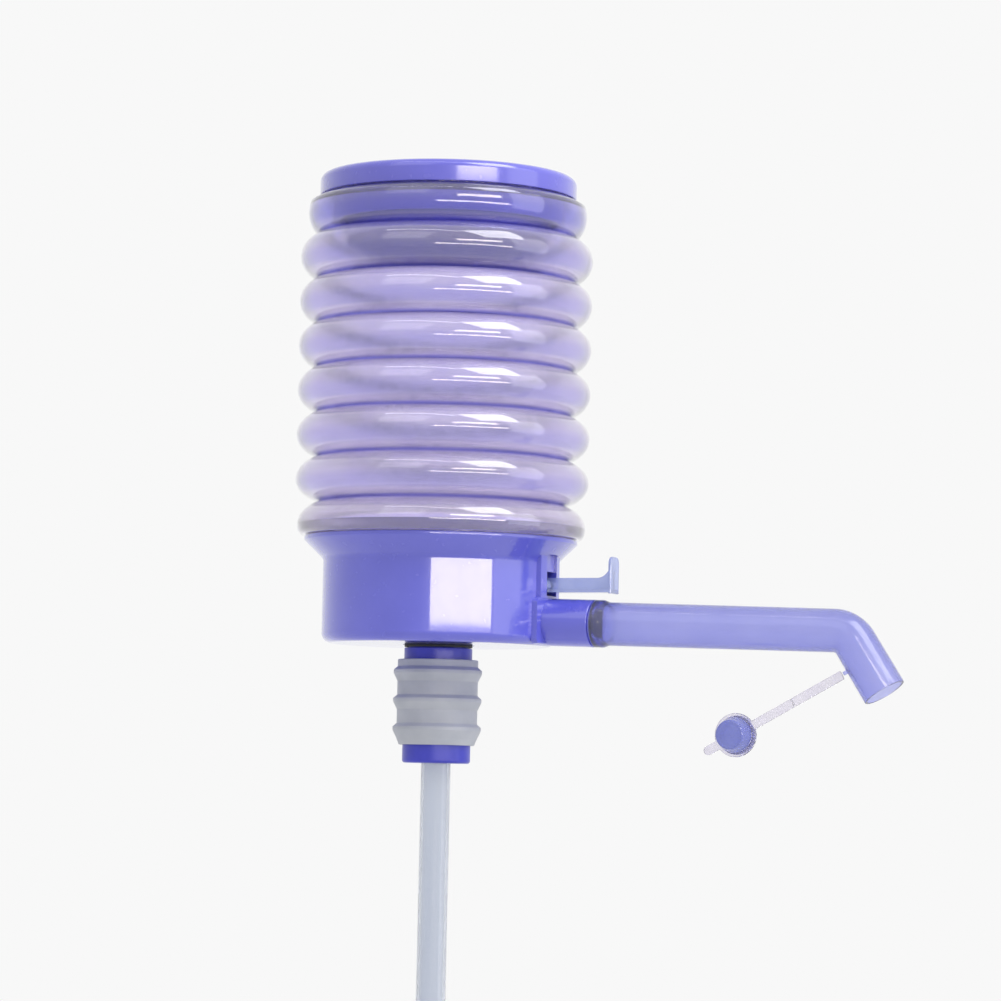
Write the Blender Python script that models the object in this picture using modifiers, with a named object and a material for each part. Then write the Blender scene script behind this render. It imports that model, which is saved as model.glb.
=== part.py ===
"""Hand pump for a water jug: pressing the bellows pushes air into the jug and water up the dip tube.

Frame: +Z up on the pump's axis, z = 0 at the housing's underside, spout along +X. Metres.
"""

import math

import bmesh
import bpy
from mathutils import Matrix, Vector

# Fits and facets
CLEARANCE = 0.0003
RUNNING_CLEARANCE = 0.00015
OVERRUN = 0.0010
LARGE_SIDES = 36
MEDIUM_SIDES = 24
SMALL_SIDES = 16
TUBE_RESOLUTION = 9
WIRE_RESOLUTION = 1
SHARP_ANGLE = math.radians(35)
MERGE = 0.00001

# Base housing
HOUSING_RADIUS = 0.0359
HOUSING_WALL = 0.0022
HOUSING_FLOOR = 0.0016
HOUSING_BOTTOM_ROUND = 0.0029
FLARE_OVERHANG = 0.00595
FLARE_HEIGHT = 0.0070
FLARE_LIP = 0.0010
FLARE_TOP_WALL = 0.0035
BELLOWS_SEAT_DEPTH = 0.0024
DECK_LEDGE_DEPTH = 0.0064
DECK_LEDGE_WIDTH = 0.0022
DECK_LEDGE_THICKNESS = 0.0016
DECK_POCKET_STEP = 0.00125

# Valve deck
DECK_THICKNESS = 0.0022
DECK_RIM_WALL = 0.0019
DECK_RIM_HEIGHT = 0.0035
GASKET_THICKNESS = 0.0010
GASKET_WIDTH = 0.0022

# Bellows
CREST_COUNT = 8
CREST_PITCH = 0.01372
CREST_RADIUS = 0.0449
LOWEST_CREST_RADIUS = 0.0441
TOP_CREST_RADIUS = 0.0428
GROOVE_RADII = (0.0390, 0.0370, 0.0380, 0.0384, 0.0389, 0.0390, 0.0390, 0.0390, 0.0390)
BELLOWS_WALL = 0.0010
LOWEST_CREST_RISE = 0.0037
TOP_CREST_TO_CAP = 0.0051
CREST_ROUNDNESS_SHARE = 1.24
OUTER_CREST_ANGLES = (-90, -55, -27, 0, 27, 55)
INNER_CREST_ANGLES = (-90, -45, 45)
NECK_HEIGHT = 0.0038
NECK_WALL = 0.0012

# Press cap
CAP_RADIUS = 0.0395
CAP_RIM_HEIGHT = 0.0044
CAP_RIM_WALL = 0.0014
CAP_EDGE_ROUND = 0.0024
CAP_DOME_SLOPE = math.radians(6)
CAP_PLATE = 0.0020
CAP_LIP_WALL = 0.0014
CAP_LIP_DROP = 0.0080
CAP_SKIRT_INSET = 0.0066
CAP_SKIRT_WALL = 0.0015
CAP_SKIRT_DROP = 0.0134
VENT_RECESS_RADIUS = 0.0095
VENT_RECESS_DEPTH = 0.0024
VENT_PLATE = 0.0015

# Intake and delivery valves
VALVE_DISC_RADIUS = 0.0100
VALVE_DISC_THICKNESS = 0.0012
VALVE_STEM_RADIUS = 0.0018
VALVE_BULB_RADIUS = 0.0026
VALVE_BULB_HEIGHT = 0.0014
VALVE_LIFT = 0.0010
VALVE_SEAT_MARGIN = 0.0015
AIR_HOLE_COUNT = 6
AIR_HOLE_RADIUS = 0.0013
AIR_HOLE_CIRCLE = 0.0062

# Spout socket and water elbow, laid out along the spout's axis
SPOUT_FLOOR_GAP = 0.001137
SPOUT_DROOP = math.radians(1.4)
SOCKET_RADIUS = 0.0072
SOCKET_BORE = 0.0059
SOCKET_REACH = 0.0158
SADDLE_WIDTH = 0.0180
SADDLE_PROUD = 0.0017
SADDLE_ROUND = 0.0012
ELBOW_RADIUS = 0.0044
ELBOW_BORE = 0.0034
ELBOW_BEND = 0.0080
ELBOW_BEND_STEPS = 6
ELBOW_DROP = 0.02224
TUBE_SOCKET_WALL = 0.0011
TUBE_SOCKET_DEPTH = 0.0120
ELBOW_END_REACH = 0.00255
ELBOW_END_LENGTH = 0.0046

# O-rings of the socket
O_RING_WIRE = 0.00045
O_RING_SEAT = 0.0010
O_RING_SQUEEZE = 0.00025

# Spout tube
SPIGOT_BORE = 0.0037
COLLAR_RADIUS = 0.00715
COLLAR_LENGTH = 0.0026
COLLAR_CHAMFER = 0.0017
SPOUT_ROOT_RADIUS = 0.00655
SPOUT_BEND_RADIUS = 0.0064
SPOUT_TIP_RADIUS = 0.0065
SPOUT_WALL = 0.0008
SPOUT_CORNER = 0.1319
SPOUT_BEND = 0.0080
SPOUT_TURN = math.radians(56)
SPOUT_BEND_STEPS = 8
SPOUT_TIP_LENGTH = 0.0213
SPOUT_RUN_STEPS = 4
STEP_LENGTH = 0.00005

# Strap and dust plug
STRAP_ROOT_DROP = 0.0100
STRAP_ANGLE = math.radians(30.1)
STRAP_LENGTH = 0.0380
STRAP_WIDTH = 0.0027
STRAP_THICKNESS = 0.0012
STRAP_HINGE_SETBACK = 0.00045
STRAP_LUG_RADIUS = 0.00060
STRAP_LUG_LENGTH = 0.0015
STRAP_FOLD_GAP = 0.00015
PLUG_RING_RADIUS = 0.0065
PLUG_RING_HOLE = 0.0050
PLUG_TAB_REACH = 0.0111
PLUG_RADIUS = 0.0053
PLUG_END_RADIUS = 0.0043
PLUG_LENGTH = 0.0048
PLUG_NECK_RADIUS = 0.0047
PLUG_LIP_RADIUS = 0.0058
PLUG_LIP = 0.0006
PLUG_WALL = 0.0010
PLUG_EDGE = 0.0005

# Release lever, its raised pad and its pin
PAD_WIDTH = 0.0140
PAD_PROUD = 0.0015
PAD_TOP_DROP = 0.0046
SLOT_WIDTH = 0.0072
SLOT_FALL = 0.0032
SLOT_HEIGHT = 0.0074
SLOT_TOP_GROOVE = 0.0051
SLOT_GROOVE_DEPTH = 0.0011
PIN_RADIUS = 0.0008
PIN_LENGTH = 0.0124
PIN_INSET = 0.0019
PIN_RISE = 0.0028
LEVER_HUB_RADIUS = 0.0019
LEVER_WIDTH = 0.0066
LEVER_REACH = 0.02235
LEVER_RISE = 0.0023
LEVER_FALL = 0.0022
LEVER_FLANGE = 0.0010
LEVER_WEB = 0.0016
TAB_RISE = 0.0086
TAB_FALL = 0.0025
TAB_THICKNESS = 0.0009
TAB_ROUND = 0.0020
TAB_CURVE_LENGTH = 0.0045
TAB_CURVE_STEPS = 6
FORK_WIDTH = 0.0052
FORK_SLOT = 0.0030
FORK_THICKNESS = 0.0010
FORK_FALL = 0.0003
FORK_OVERREACH = 0.0022

# Vent chamber and release valve
CHAMBER_WIDTH = 0.0130
CHAMBER_HEIGHT = 0.0101
CHAMBER_ELBOW_GAP = 0.00176
CHAMBER_WALL = 0.0012
CHAMBER_DEPTH = 0.0136
RELEASE_SEAT_INSET = 0.0098
RELEASE_SEAT_HOLE = 0.0020
RELEASE_PAD_RADIUS = 0.0034
RELEASE_PAD_THICKNESS = 0.0011
RELEASE_DISC_RADIUS = 0.0030
RELEASE_DISC_THICKNESS = 0.0006
RELEASE_SHAFT_RADIUS = 0.0011
RELEASE_COLLAR_RADIUS = 0.0029
RELEASE_COLLAR_THICKNESS = 0.0007
RELEASE_GUIDE_LENGTH = 0.0014
SPRING_TURNS = 3
SPRING_RADIUS = 0.0020
SPRING_WIRE = 0.00020
SPRING_POINTS_PER_TURN = 10

# Neck stem and stopper sleeve
STEM_RADIUS = 0.0104
STEM_NECK_RADIUS = 0.0092
STEM_BORE = 0.0074
STEM_BEAD = 0.0006
STEM_BEAD_HEIGHT = 0.0010
STEM_LENGTH = 0.0360
STEM_CHAMFER = 0.0008
STEM_GASKET_THICKNESS = 0.0008
STEM_SEAT_DEPTH = 0.0004
STEM_SEAT_MARGIN = 0.0006
HUB_LENGTH = 0.0080
HUB_WALL = 0.0011
HUB_RIB_COUNT = 3
HUB_RIB_WIDTH = 0.0012
SLEEVE_TOP_GAP = 0.0045
SLEEVE_LENGTH = 0.0260
SLEEVE_WALL = 0.0016
SLEEVE_RIB = 0.0012
SLEEVE_RIB_COUNT = 3
SLEEVE_RIB_HEIGHT = 0.0030

# Dip tube
DIP_RADIUS = 0.0045
DIP_BORE = 0.0035
DIP_LENGTH = 0.1420
DIP_COUNT = 3
COUPLING_WALL = 0.0012
COUPLING_LENGTH = 0.0220
COUPLING_STOP = 0.0006
COUPLING_CHAMFER = 0.0005
STRAINER_SOCKET = 0.0120
STRAINER_CAGE = 0.0100
STRAINER_FLOOR = 0.0012
STRAINER_SWELL = 0.0008
STRAINER_SLOTS = 3
STRAINER_SLOT_WIDTH = 0.0020
STRAINER_SLOT_HEIGHT = 0.0070

# Sizes worked out from the ones above
HOUSING_INNER = HOUSING_RADIUS - HOUSING_WALL
SPOUT_RISE = HOUSING_FLOOR + SPOUT_FLOOR_GAP + HOUSING_RADIUS * math.tan(SPOUT_DROOP) + ELBOW_RADIUS
CHAMBER_FLOOR = SPOUT_RISE + ELBOW_RADIUS + CHAMBER_ELBOW_GAP + CHAMBER_WALL
CHAMBER_TOP = CHAMBER_FLOOR - CHAMBER_WALL + CHAMBER_HEIGHT
LEDGE_UNDERSIDE = CHAMBER_TOP + CLEARANCE
LEDGE_Z = LEDGE_UNDERSIDE + DECK_LEDGE_THICKNESS
HOUSING_HEIGHT = LEDGE_Z + DECK_LEDGE_DEPTH
FLARE_RADIUS = HOUSING_RADIUS + FLARE_OVERHANG
SEAT_RADIUS = FLARE_RADIUS - FLARE_TOP_WALL
SEAT_Z = HOUSING_HEIGHT - BELLOWS_SEAT_DEPTH
POCKET_RADIUS = HOUSING_INNER + DECK_POCKET_STEP
DECK_RADIUS = POCKET_RADIUS - CLEARANCE
GASKET_Z = LEDGE_Z + CLEARANCE
DECK_Z = GASKET_Z + GASKET_THICKNESS + CLEARANCE
DECK_TOP = DECK_Z + DECK_THICKNESS
LOWEST_CREST_Z = HOUSING_HEIGHT + LOWEST_CREST_RISE
CAP_Z = LOWEST_CREST_Z + (CREST_COUNT - 1) * CREST_PITCH + TOP_CREST_TO_CAP
NECK_RADIUS = CAP_RADIUS - CAP_RIM_WALL - CLEARANCE
CAP_SKIRT_RADIUS = CAP_RADIUS - CAP_SKIRT_INSET
ELBOW_BOTTOM = SPOUT_RISE - ELBOW_DROP
TUBE_SOCKET_TOP = ELBOW_BOTTOM + TUBE_SOCKET_DEPTH
SOCKET_END = HOUSING_RADIUS + SOCKET_REACH
ELBOW_END = HOUSING_RADIUS + ELBOW_END_REACH
SPIGOT_START = ELBOW_END + CLEARANCE
SPIGOT_RADIUS = SOCKET_BORE - CLEARANCE
O_RING_RADIUS = SPIGOT_RADIUS - O_RING_WIRE + O_RING_SQUEEZE - RUNNING_CLEARANCE
O_RING_GROOVE = O_RING_RADIUS - O_RING_WIRE - RUNNING_CLEARANCE
COLLAR_START = SOCKET_END + CLEARANCE
PIN_X = HOUSING_RADIUS + PAD_PROUD - PIN_INSET
PIN_HEIGHT = CHAMBER_FLOOR + PIN_RISE
RELEASE_X = PIN_X - RELEASE_SEAT_INSET
STEM_TOP = HOUSING_FLOOR + CLEARANCE + STEM_BEAD_HEIGHT
STEM_GASKET_TOP = STEM_SEAT_DEPTH - CLEARANCE
STEM_SHOULDER = STEM_GASKET_TOP - STEM_GASKET_THICKNESS - CLEARANCE
TUBE_SOCKET_BORE = DIP_RADIUS + CLEARANCE
DIP_TOP = TUBE_SOCKET_TOP - CLEARANCE


def start_scene():
    for leftover in list(bpy.data.objects):
        bpy.data.objects.remove(leftover, do_unlink=True)
    parts = bpy.data.collections.new("jug_hand_pump")
    cutters = bpy.data.collections.new("cutters")
    for collection in (parts, cutters):
        bpy.context.scene.collection.children.link(collection)
    return parts, cutters


PARTS, CUTTERS = start_scene()


def plastic(name, color, roughness):
    material = bpy.data.materials.new(name)
    material.use_nodes = True
    shader = material.node_tree.nodes["Principled BSDF"]
    shader.inputs["Base Color"].default_value = (*color, 1.0)
    shader.inputs["Roughness"].default_value = roughness
    shader.inputs["Metallic"].default_value = 0.0
    material.diffuse_color = (*color, 1.0)
    return material


VIOLET = plastic("violet_polypropylene", (0.17, 0.18, 0.62), 0.18)
DEEP_VIOLET = plastic("deep_violet_polypropylene", (0.13, 0.13, 0.52), 0.15)
LILAC = plastic("lilac_polyethylene", (0.52, 0.45, 0.80), 0.25)
SPOUT_VIOLET = plastic("spout_polypropylene", (0.25, 0.25, 0.74), 0.22)
PALE = plastic("clear_polyethylene", (0.72, 0.69, 0.84), 0.30)
PALE_BLUE = plastic("pale_blue_polypropylene", (0.45, 0.50, 0.82), 0.28)
STEM_BLUE = plastic("dark_blue_polypropylene", (0.04, 0.06, 0.30), 0.30)
SILICONE = plastic("grey_silicone", (0.62, 0.63, 0.68), 0.55)
RUBBER = plastic("black_rubber", (0.03, 0.03, 0.03), 0.60)
STEEL = plastic("spring_steel", (0.55, 0.55, 0.57), 0.30)
STEEL.node_tree.nodes["Principled BSDF"].inputs["Metallic"].default_value = 1.0


def add_object(name, mesh, collection, material=None):
    obj = bpy.data.objects.new(name, mesh)
    collection.objects.link(obj)
    if collection is CUTTERS:
        obj.hide_render = True
        obj.display_type = "WIRE"
    if material:
        mesh.materials.clear()
        mesh.materials.append(material)
    return obj


def turned(name, outline, sides, collection=CUTTERS, material=None):
    """Revolve an outline of (radius, height) points that runs down its outer side."""
    count = len(outline)
    closed = min(radius for radius, height in outline) > 0
    edges = [(i, i + 1) for i in range(count - 1)]
    if closed:
        edges.append((count - 1, 0))
    mesh = bpy.data.meshes.new(name)
    mesh.from_pydata([(radius, 0, height) for radius, height in outline], edges, [])
    obj = add_object(name, mesh, collection, material)
    screw = obj.modifiers.new("revolve", "SCREW")
    screw.axis = "Z"
    screw.steps = sides
    screw.render_steps = sides
    screw.use_merge_vertices = True
    screw.merge_threshold = MERGE
    screw.use_smooth_shade = True
    return obj


def block(name, low, high, rounding=0, rounding_steps=3):
    """A box between two corners, with rounded edges if asked."""
    mesh = bpy.data.meshes.new(name)
    solid = bmesh.new()
    bmesh.ops.create_cube(solid, size=1)
    size = Vector(high) - Vector(low)
    middle = (Vector(high) + Vector(low)) / 2
    bmesh.ops.scale(solid, vec=size, verts=solid.verts)
    bmesh.ops.translate(solid, vec=middle, verts=solid.verts)
    solid.to_mesh(mesh)
    solid.free()
    obj = add_object(name, mesh, CUTTERS)
    if rounding:
        bevel = obj.modifiers.new("round", "BEVEL")
        bevel.width = rounding
        bevel.segments = rounding_steps
    return obj


def rod(name, start, end, radius, sides=SMALL_SIDES, collection=CUTTERS, material=None):
    """A round bar from one point to another."""
    start = Vector(start)
    run = Vector(end) - start
    mesh = bpy.data.meshes.new(name)
    solid = bmesh.new()
    turn = run.to_track_quat("Z", "Y").to_matrix().to_4x4()
    place = Matrix.Translation(start + run / 2) @ turn
    bmesh.ops.create_cone(
        solid, cap_ends=True, segments=sides, radius1=radius, radius2=radius, depth=run.length, matrix=place
    )
    solid.to_mesh(mesh)
    solid.free()
    return add_object(name, mesh, collection, material)


def torus(name, ring_radius, wire_radius, material):
    """An O-ring about the local Z axis."""
    points = []
    for step in range(SMALL_SIDES // 2):
        angle = -math.tau * step / (SMALL_SIDES // 2)
        points.append((ring_radius + wire_radius * math.cos(angle), wire_radius * math.sin(angle)))
    return turned(name, points, MEDIUM_SIDES, PARTS, material)


def swept(name, points, radii, resolution, collection=CUTTERS, material=None):
    """A round tube along points, whose radius changes from point to point, as a mesh with welded caps."""
    widest = max(radii)
    curve = bpy.data.curves.new(name, "CURVE")
    curve.dimensions = "3D"
    curve.bevel_depth = widest
    curve.bevel_resolution = resolution
    curve.use_fill_caps = True
    spline = curve.splines.new("POLY")
    spline.points.add(len(points) - 1)
    for spot, point, radius in zip(spline.points, points, radii):
        spot.co = (*point, 1)
        spot.radius = radius / widest
    guide = bpy.data.objects.new(name + "_curve", curve)
    CUTTERS.objects.link(guide)
    bpy.context.view_layer.update()
    graph = bpy.context.evaluated_depsgraph_get()
    mesh = bpy.data.meshes.new_from_object(guide.evaluated_get(graph))
    mesh.name = name
    bpy.data.objects.remove(guide, do_unlink=True)
    solid = bmesh.new()
    solid.from_mesh(mesh)
    bmesh.ops.remove_doubles(solid, verts=solid.verts, dist=MERGE)
    bmesh.ops.recalc_face_normals(solid, faces=solid.faces)
    solid.to_mesh(mesh)
    solid.free()
    mesh.set_sharp_from_angle(angle=SHARP_ANGLE)
    return add_object(name, mesh, collection, material)


def plate(name, outline, thickness, turn=None):
    """A flat outline of (x, y) points, filled and given a thickness, then turned by a matrix."""
    curve = bpy.data.curves.new(name, "CURVE")
    curve.dimensions = "2D"
    curve.fill_mode = "BOTH"
    curve.extrude = thickness / 2
    spline = curve.splines.new("POLY")
    spline.points.add(len(outline) - 1)
    for spot, point in zip(spline.points, outline):
        spot.co = (point[0], point[1], 0, 1)
    spline.use_cyclic_u = True
    guide = bpy.data.objects.new(name + "_curve", curve)
    CUTTERS.objects.link(guide)
    bpy.context.view_layer.update()
    graph = bpy.context.evaluated_depsgraph_get()
    mesh = bpy.data.meshes.new_from_object(guide.evaluated_get(graph))
    mesh.name = name
    bpy.data.objects.remove(guide, do_unlink=True)
    solid = bmesh.new()
    solid.from_mesh(mesh)
    bmesh.ops.remove_doubles(solid, verts=solid.verts, dist=MERGE)
    if turn:
        bmesh.ops.transform(solid, matrix=turn, verts=solid.verts)
    bmesh.ops.recalc_face_normals(solid, faces=solid.faces)
    solid.to_mesh(mesh)
    solid.free()
    return add_object(name, mesh, CUTTERS)


def combine(obj, operation, *tools):
    """Join, cut or keep the overlap of an object with others."""
    for tool in tools:
        modifier = obj.modifiers.new(tool.name, "BOOLEAN")
        modifier.operation = operation
        modifier.solver = "EXACT"
        modifier.object = tool
        tool.hide_render = True
        tool.display_type = "WIRE"
    return obj


def settle(obj, name, parent=None, material=None):
    """Evaluate an object's modifiers into a plain mesh, named and shaded as a finished piece."""
    bpy.context.view_layer.update()
    graph = bpy.context.evaluated_depsgraph_get()
    mesh = bpy.data.meshes.new_from_object(obj.evaluated_get(graph))
    mesh.name = name
    solid = bmesh.new()
    solid.from_mesh(mesh)
    bmesh.ops.remove_doubles(solid, verts=solid.verts, dist=MERGE)
    solid.to_mesh(mesh)
    solid.free()
    mesh.shade_smooth()
    mesh.set_sharp_from_angle(angle=SHARP_ANGLE)
    if material:
        mesh.materials.clear()
        mesh.materials.append(material)
    finished = bpy.data.objects.new(name, mesh)
    PARTS.objects.link(finished)
    if parent:
        finished.parent = parent
    obj.hide_render = True
    bpy.data.objects.remove(obj, do_unlink=True)
    return finished


def pivot(name, location, rotation=(0, 0, 0), parent=None):
    """An empty that a moving piece hangs from."""
    empty = bpy.data.objects.new(name, None)
    PARTS.objects.link(empty)
    empty.location = location
    empty.rotation_euler = rotation
    empty.parent = parent
    bpy.context.view_layer.update()
    return empty


def arc(center, radius, start_angle, end_angle, steps):
    """Points on an arc, angles in degrees from the first axis."""
    points = []
    for step in range(steps + 1):
        angle = math.radians(start_angle + (end_angle - start_angle) * step / steps)
        points.append((center[0] + radius * math.cos(angle), center[1] + radius * math.sin(angle)))
    return points


def sideways(obj, parent):
    """Lay a piece turned about Z along the parent's X axis."""
    obj.rotation_euler = (0, math.pi / 2, 0)
    obj.parent = parent
    bpy.context.view_layer.update()
    return obj


# Base housing


def housing_shell():
    flare_bottom = HOUSING_HEIGHT - FLARE_HEIGHT
    round_center = (HOUSING_RADIUS - HOUSING_BOTTOM_ROUND, HOUSING_BOTTOM_ROUND)
    hole = STEM_NECK_RADIUS + CLEARANCE
    stem_seat = STEM_RADIUS + STEM_SEAT_MARGIN
    ledge_inner = HOUSING_INNER - DECK_LEDGE_WIDTH
    outline = [
        (FLARE_RADIUS, HOUSING_HEIGHT),
        (FLARE_RADIUS, HOUSING_HEIGHT - FLARE_LIP),
        (HOUSING_RADIUS, flare_bottom),
        *arc(round_center, HOUSING_BOTTOM_ROUND, 0, -90, 4),
        (stem_seat, 0),
        (stem_seat, STEM_SEAT_DEPTH),
        (hole, STEM_SEAT_DEPTH),
        (hole, HOUSING_FLOOR),
        (HOUSING_INNER, HOUSING_FLOOR),
        (HOUSING_INNER, LEDGE_UNDERSIDE),
        (ledge_inner, LEDGE_UNDERSIDE),
        (ledge_inner, LEDGE_Z),
        (POCKET_RADIUS, LEDGE_Z),
        (POCKET_RADIUS, SEAT_Z),
        (SEAT_RADIUS, SEAT_Z),
        (SEAT_RADIUS, HOUSING_HEIGHT),
    ]
    return turned("housing_shell", outline, LARGE_SIDES)


def curved_pad(name, width, bottom, top, proud, rounding):
    """A raised pad on the housing's wall, its face following the wall's curve."""
    inner = HOUSING_RADIUS - HOUSING_WALL / 2
    outer = HOUSING_RADIUS + proud
    pad = block(name, (inner, -width / 2, bottom), (outer + OVERRUN, width / 2, top), rounding, 2)
    skin = rod(name + "_skin", (0, 0, bottom - OVERRUN), (0, 0, top + OVERRUN), outer, LARGE_SIDES * 2)
    return combine(pad, "INTERSECT", skin)


def make_housing(spout_frame):
    housing = housing_shell()
    saddle_top = SPOUT_RISE - SPOUT_DROOP * HOUSING_RADIUS + SOCKET_RADIUS
    saddle = curved_pad("saddle", SADDLE_WIDTH, CLEARANCE, saddle_top, SADDLE_PROUD, SADDLE_ROUND)
    pad_top = HOUSING_HEIGHT - PAD_TOP_DROP
    pad = curved_pad("lever_pad", PAD_WIDTH, saddle_top - OVERRUN, pad_top, PAD_PROUD, HOUSING_WALL / 4)
    socket_start = HOUSING_INNER + HOUSING_WALL / 4
    socket = rod("socket", (socket_start, 0, 0), (SOCKET_END, 0, 0), SOCKET_RADIUS, MEDIUM_SIDES)
    bore_start = HOUSING_INNER - HOUSING_WALL
    bore = rod("socket_bore", (bore_start, 0, 0), (SOCKET_END + OVERRUN, 0, 0), SOCKET_BORE, MEDIUM_SIDES)
    for piece in (socket, bore):
        piece.parent = spout_frame
    slot_bottom = PIN_HEIGHT - SLOT_FALL
    slot_top = slot_bottom + SLOT_HEIGHT
    face = HOUSING_RADIUS + PAD_PROUD
    slot = block(
        "lever_slot",
        (HOUSING_INNER - OVERRUN, -SLOT_WIDTH / 2, slot_bottom),
        (face + OVERRUN, SLOT_WIDTH / 2, slot_top),
    )
    groove = block(
        "slot_groove",
        (face - SLOT_GROOVE_DEPTH, -SLOT_WIDTH / 2, slot_top - OVERRUN),
        (face + OVERRUN, SLOT_WIDTH / 2, slot_top + SLOT_TOP_GROOVE),
    )
    half = PIN_LENGTH / 2 + CLEARANCE
    pin_hole = rod("pin_hole", (PIN_X, -half, PIN_HEIGHT), (PIN_X, half, PIN_HEIGHT), PIN_RADIUS + RUNNING_CLEARANCE)
    bpy.context.view_layer.update()
    combine(housing, "UNION", saddle, pad, socket)
    combine(housing, "DIFFERENCE", bore, slot, groove, pin_hole)
    return settle(housing, "base_housing", material=VIOLET)


# Valve deck, gasket and the two disc valves


def air_holes(name, bottom, top):
    """The ring of air holes and the middle hole for the valve's stem."""
    holes = [rod(name + "_stem_hole", (0, 0, bottom), (0, 0, top), VALVE_STEM_RADIUS + CLEARANCE)]
    for index in range(AIR_HOLE_COUNT):
        angle = math.tau * (index + 1 / 4) / AIR_HOLE_COUNT
        x = AIR_HOLE_CIRCLE * math.cos(angle)
        y = AIR_HOLE_CIRCLE * math.sin(angle)
        holes.append(rod(f"{name}_air_{index}", (x, y, bottom), (x, y, top), AIR_HOLE_RADIUS, SMALL_SIDES // 2))
    return holes


def disc_valve(name, seat_z, outer_z):
    """A rubber disc below a seat, held by a stem whose bulb sits above the plate."""
    disc_top = seat_z - CLEARANCE
    bulb_bottom = outer_z + VALVE_LIFT + RUNNING_CLEARANCE
    bulb_top = bulb_bottom + VALVE_BULB_HEIGHT
    outline = [
        (0, bulb_top),
        (VALVE_BULB_RADIUS / 2, bulb_top),
        (VALVE_BULB_RADIUS, bulb_bottom + VALVE_BULB_HEIGHT / 3),
        (VALVE_BULB_RADIUS, bulb_bottom),
        (VALVE_STEM_RADIUS, bulb_bottom),
        (VALVE_STEM_RADIUS, disc_top),
        (VALVE_DISC_RADIUS, disc_top),
        (VALVE_DISC_RADIUS, disc_top - VALVE_DISC_THICKNESS / 2),
        (VALVE_STEM_RADIUS * 2, disc_top - VALVE_DISC_THICKNESS),
        (0, disc_top - VALVE_DISC_THICKNESS),
    ]
    return settle(turned(name + "_outline", outline, MEDIUM_SIDES), name, material=RUBBER)


def make_deck():
    rim_top = DECK_TOP + DECK_RIM_HEIGHT
    rim_inner = DECK_RADIUS - DECK_RIM_WALL
    outline = [
        (0, DECK_TOP),
        (rim_inner, DECK_TOP),
        (rim_inner, rim_top),
        (DECK_RADIUS, rim_top),
        (DECK_RADIUS, DECK_Z),
        (0, DECK_Z),
    ]
    deck = turned("deck_outline", outline, LARGE_SIDES)
    combine(deck, "DIFFERENCE", *air_holes("deck", DECK_Z - OVERRUN, DECK_TOP + OVERRUN))
    settle(deck, "valve_deck", material=PALE)
    outer = DECK_RADIUS - CLEARANCE
    ring = [
        (outer, GASKET_Z + GASKET_THICKNESS),
        (outer, GASKET_Z),
        (outer - GASKET_WIDTH, GASKET_Z),
        (outer - GASKET_WIDTH, GASKET_Z + GASKET_THICKNESS),
    ]
    settle(turned("gasket_outline", ring, LARGE_SIDES), "deck_gasket", material=RUBBER)
    disc_valve("delivery_valve", DECK_Z, DECK_TOP)


# Bellows


def crest_radius(index):
    if index == 0:
        return LOWEST_CREST_RADIUS
    if index == CREST_COUNT - 1:
        return TOP_CREST_RADIUS
    return CREST_RADIUS


def crest_point(index, angle, inset):
    """A point on one convolution: angle from -90 at its lower groove to 90 at its upper one."""
    turn = math.radians(angle)
    groove = GROOVE_RADII[index] if angle < 0 else GROOVE_RADII[index + 1]
    depth = crest_radius(index) - groove
    height = LOWEST_CREST_Z + index * CREST_PITCH + CREST_PITCH / 2 * math.sin(turn)
    return (groove - inset + depth * math.cos(turn) ** CREST_ROUNDNESS_SHARE, height)


def make_bellows():
    foot_inner = DECK_RADIUS + CLEARANCE
    foot_outer = SEAT_RADIUS - CLEARANCE
    foot_bottom = SEAT_Z + CLEARANCE
    foot_top = HOUSING_HEIGHT + CLEARANCE
    neck_bottom = CAP_Z - CLEARANCE
    neck_top = CAP_Z + NECK_HEIGHT - CLEARANCE
    outer = [crest_point(i, a, 0) for i in range(CREST_COUNT) for a in OUTER_CREST_ANGLES]
    outer = [point for point in outer if foot_top + BELLOWS_WALL < point[1] < neck_bottom - BELLOWS_WALL]
    inner = [crest_point(i, a, BELLOWS_WALL) for i in range(CREST_COUNT) for a in INNER_CREST_ANGLES]
    inner = [point for point in inner if foot_top + BELLOWS_WALL * 2 < point[1] < neck_bottom - BELLOWS_WALL * 2]
    flank = FLARE_RADIUS - CLEARANCE
    outline = [
        (NECK_RADIUS - NECK_WALL, neck_top),
        (NECK_RADIUS, neck_top),
        (NECK_RADIUS, neck_bottom),
        (CAP_RADIUS - CLEARANCE, neck_bottom),
        *reversed(outer),
        (flank, foot_top),
        (foot_outer, foot_top),
        (foot_outer, foot_bottom),
        (foot_inner, foot_bottom),
        (foot_inner, foot_top + BELLOWS_WALL),
        (flank - BELLOWS_WALL * 2, foot_top + BELLOWS_WALL),
        *inner,
        (NECK_RADIUS - NECK_WALL, neck_bottom - BELLOWS_WALL),
    ]
    settle(turned("bellows_outline", outline, LARGE_SIDES), "bellows", material=LILAC)


# Press cap and its intake valve


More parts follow.
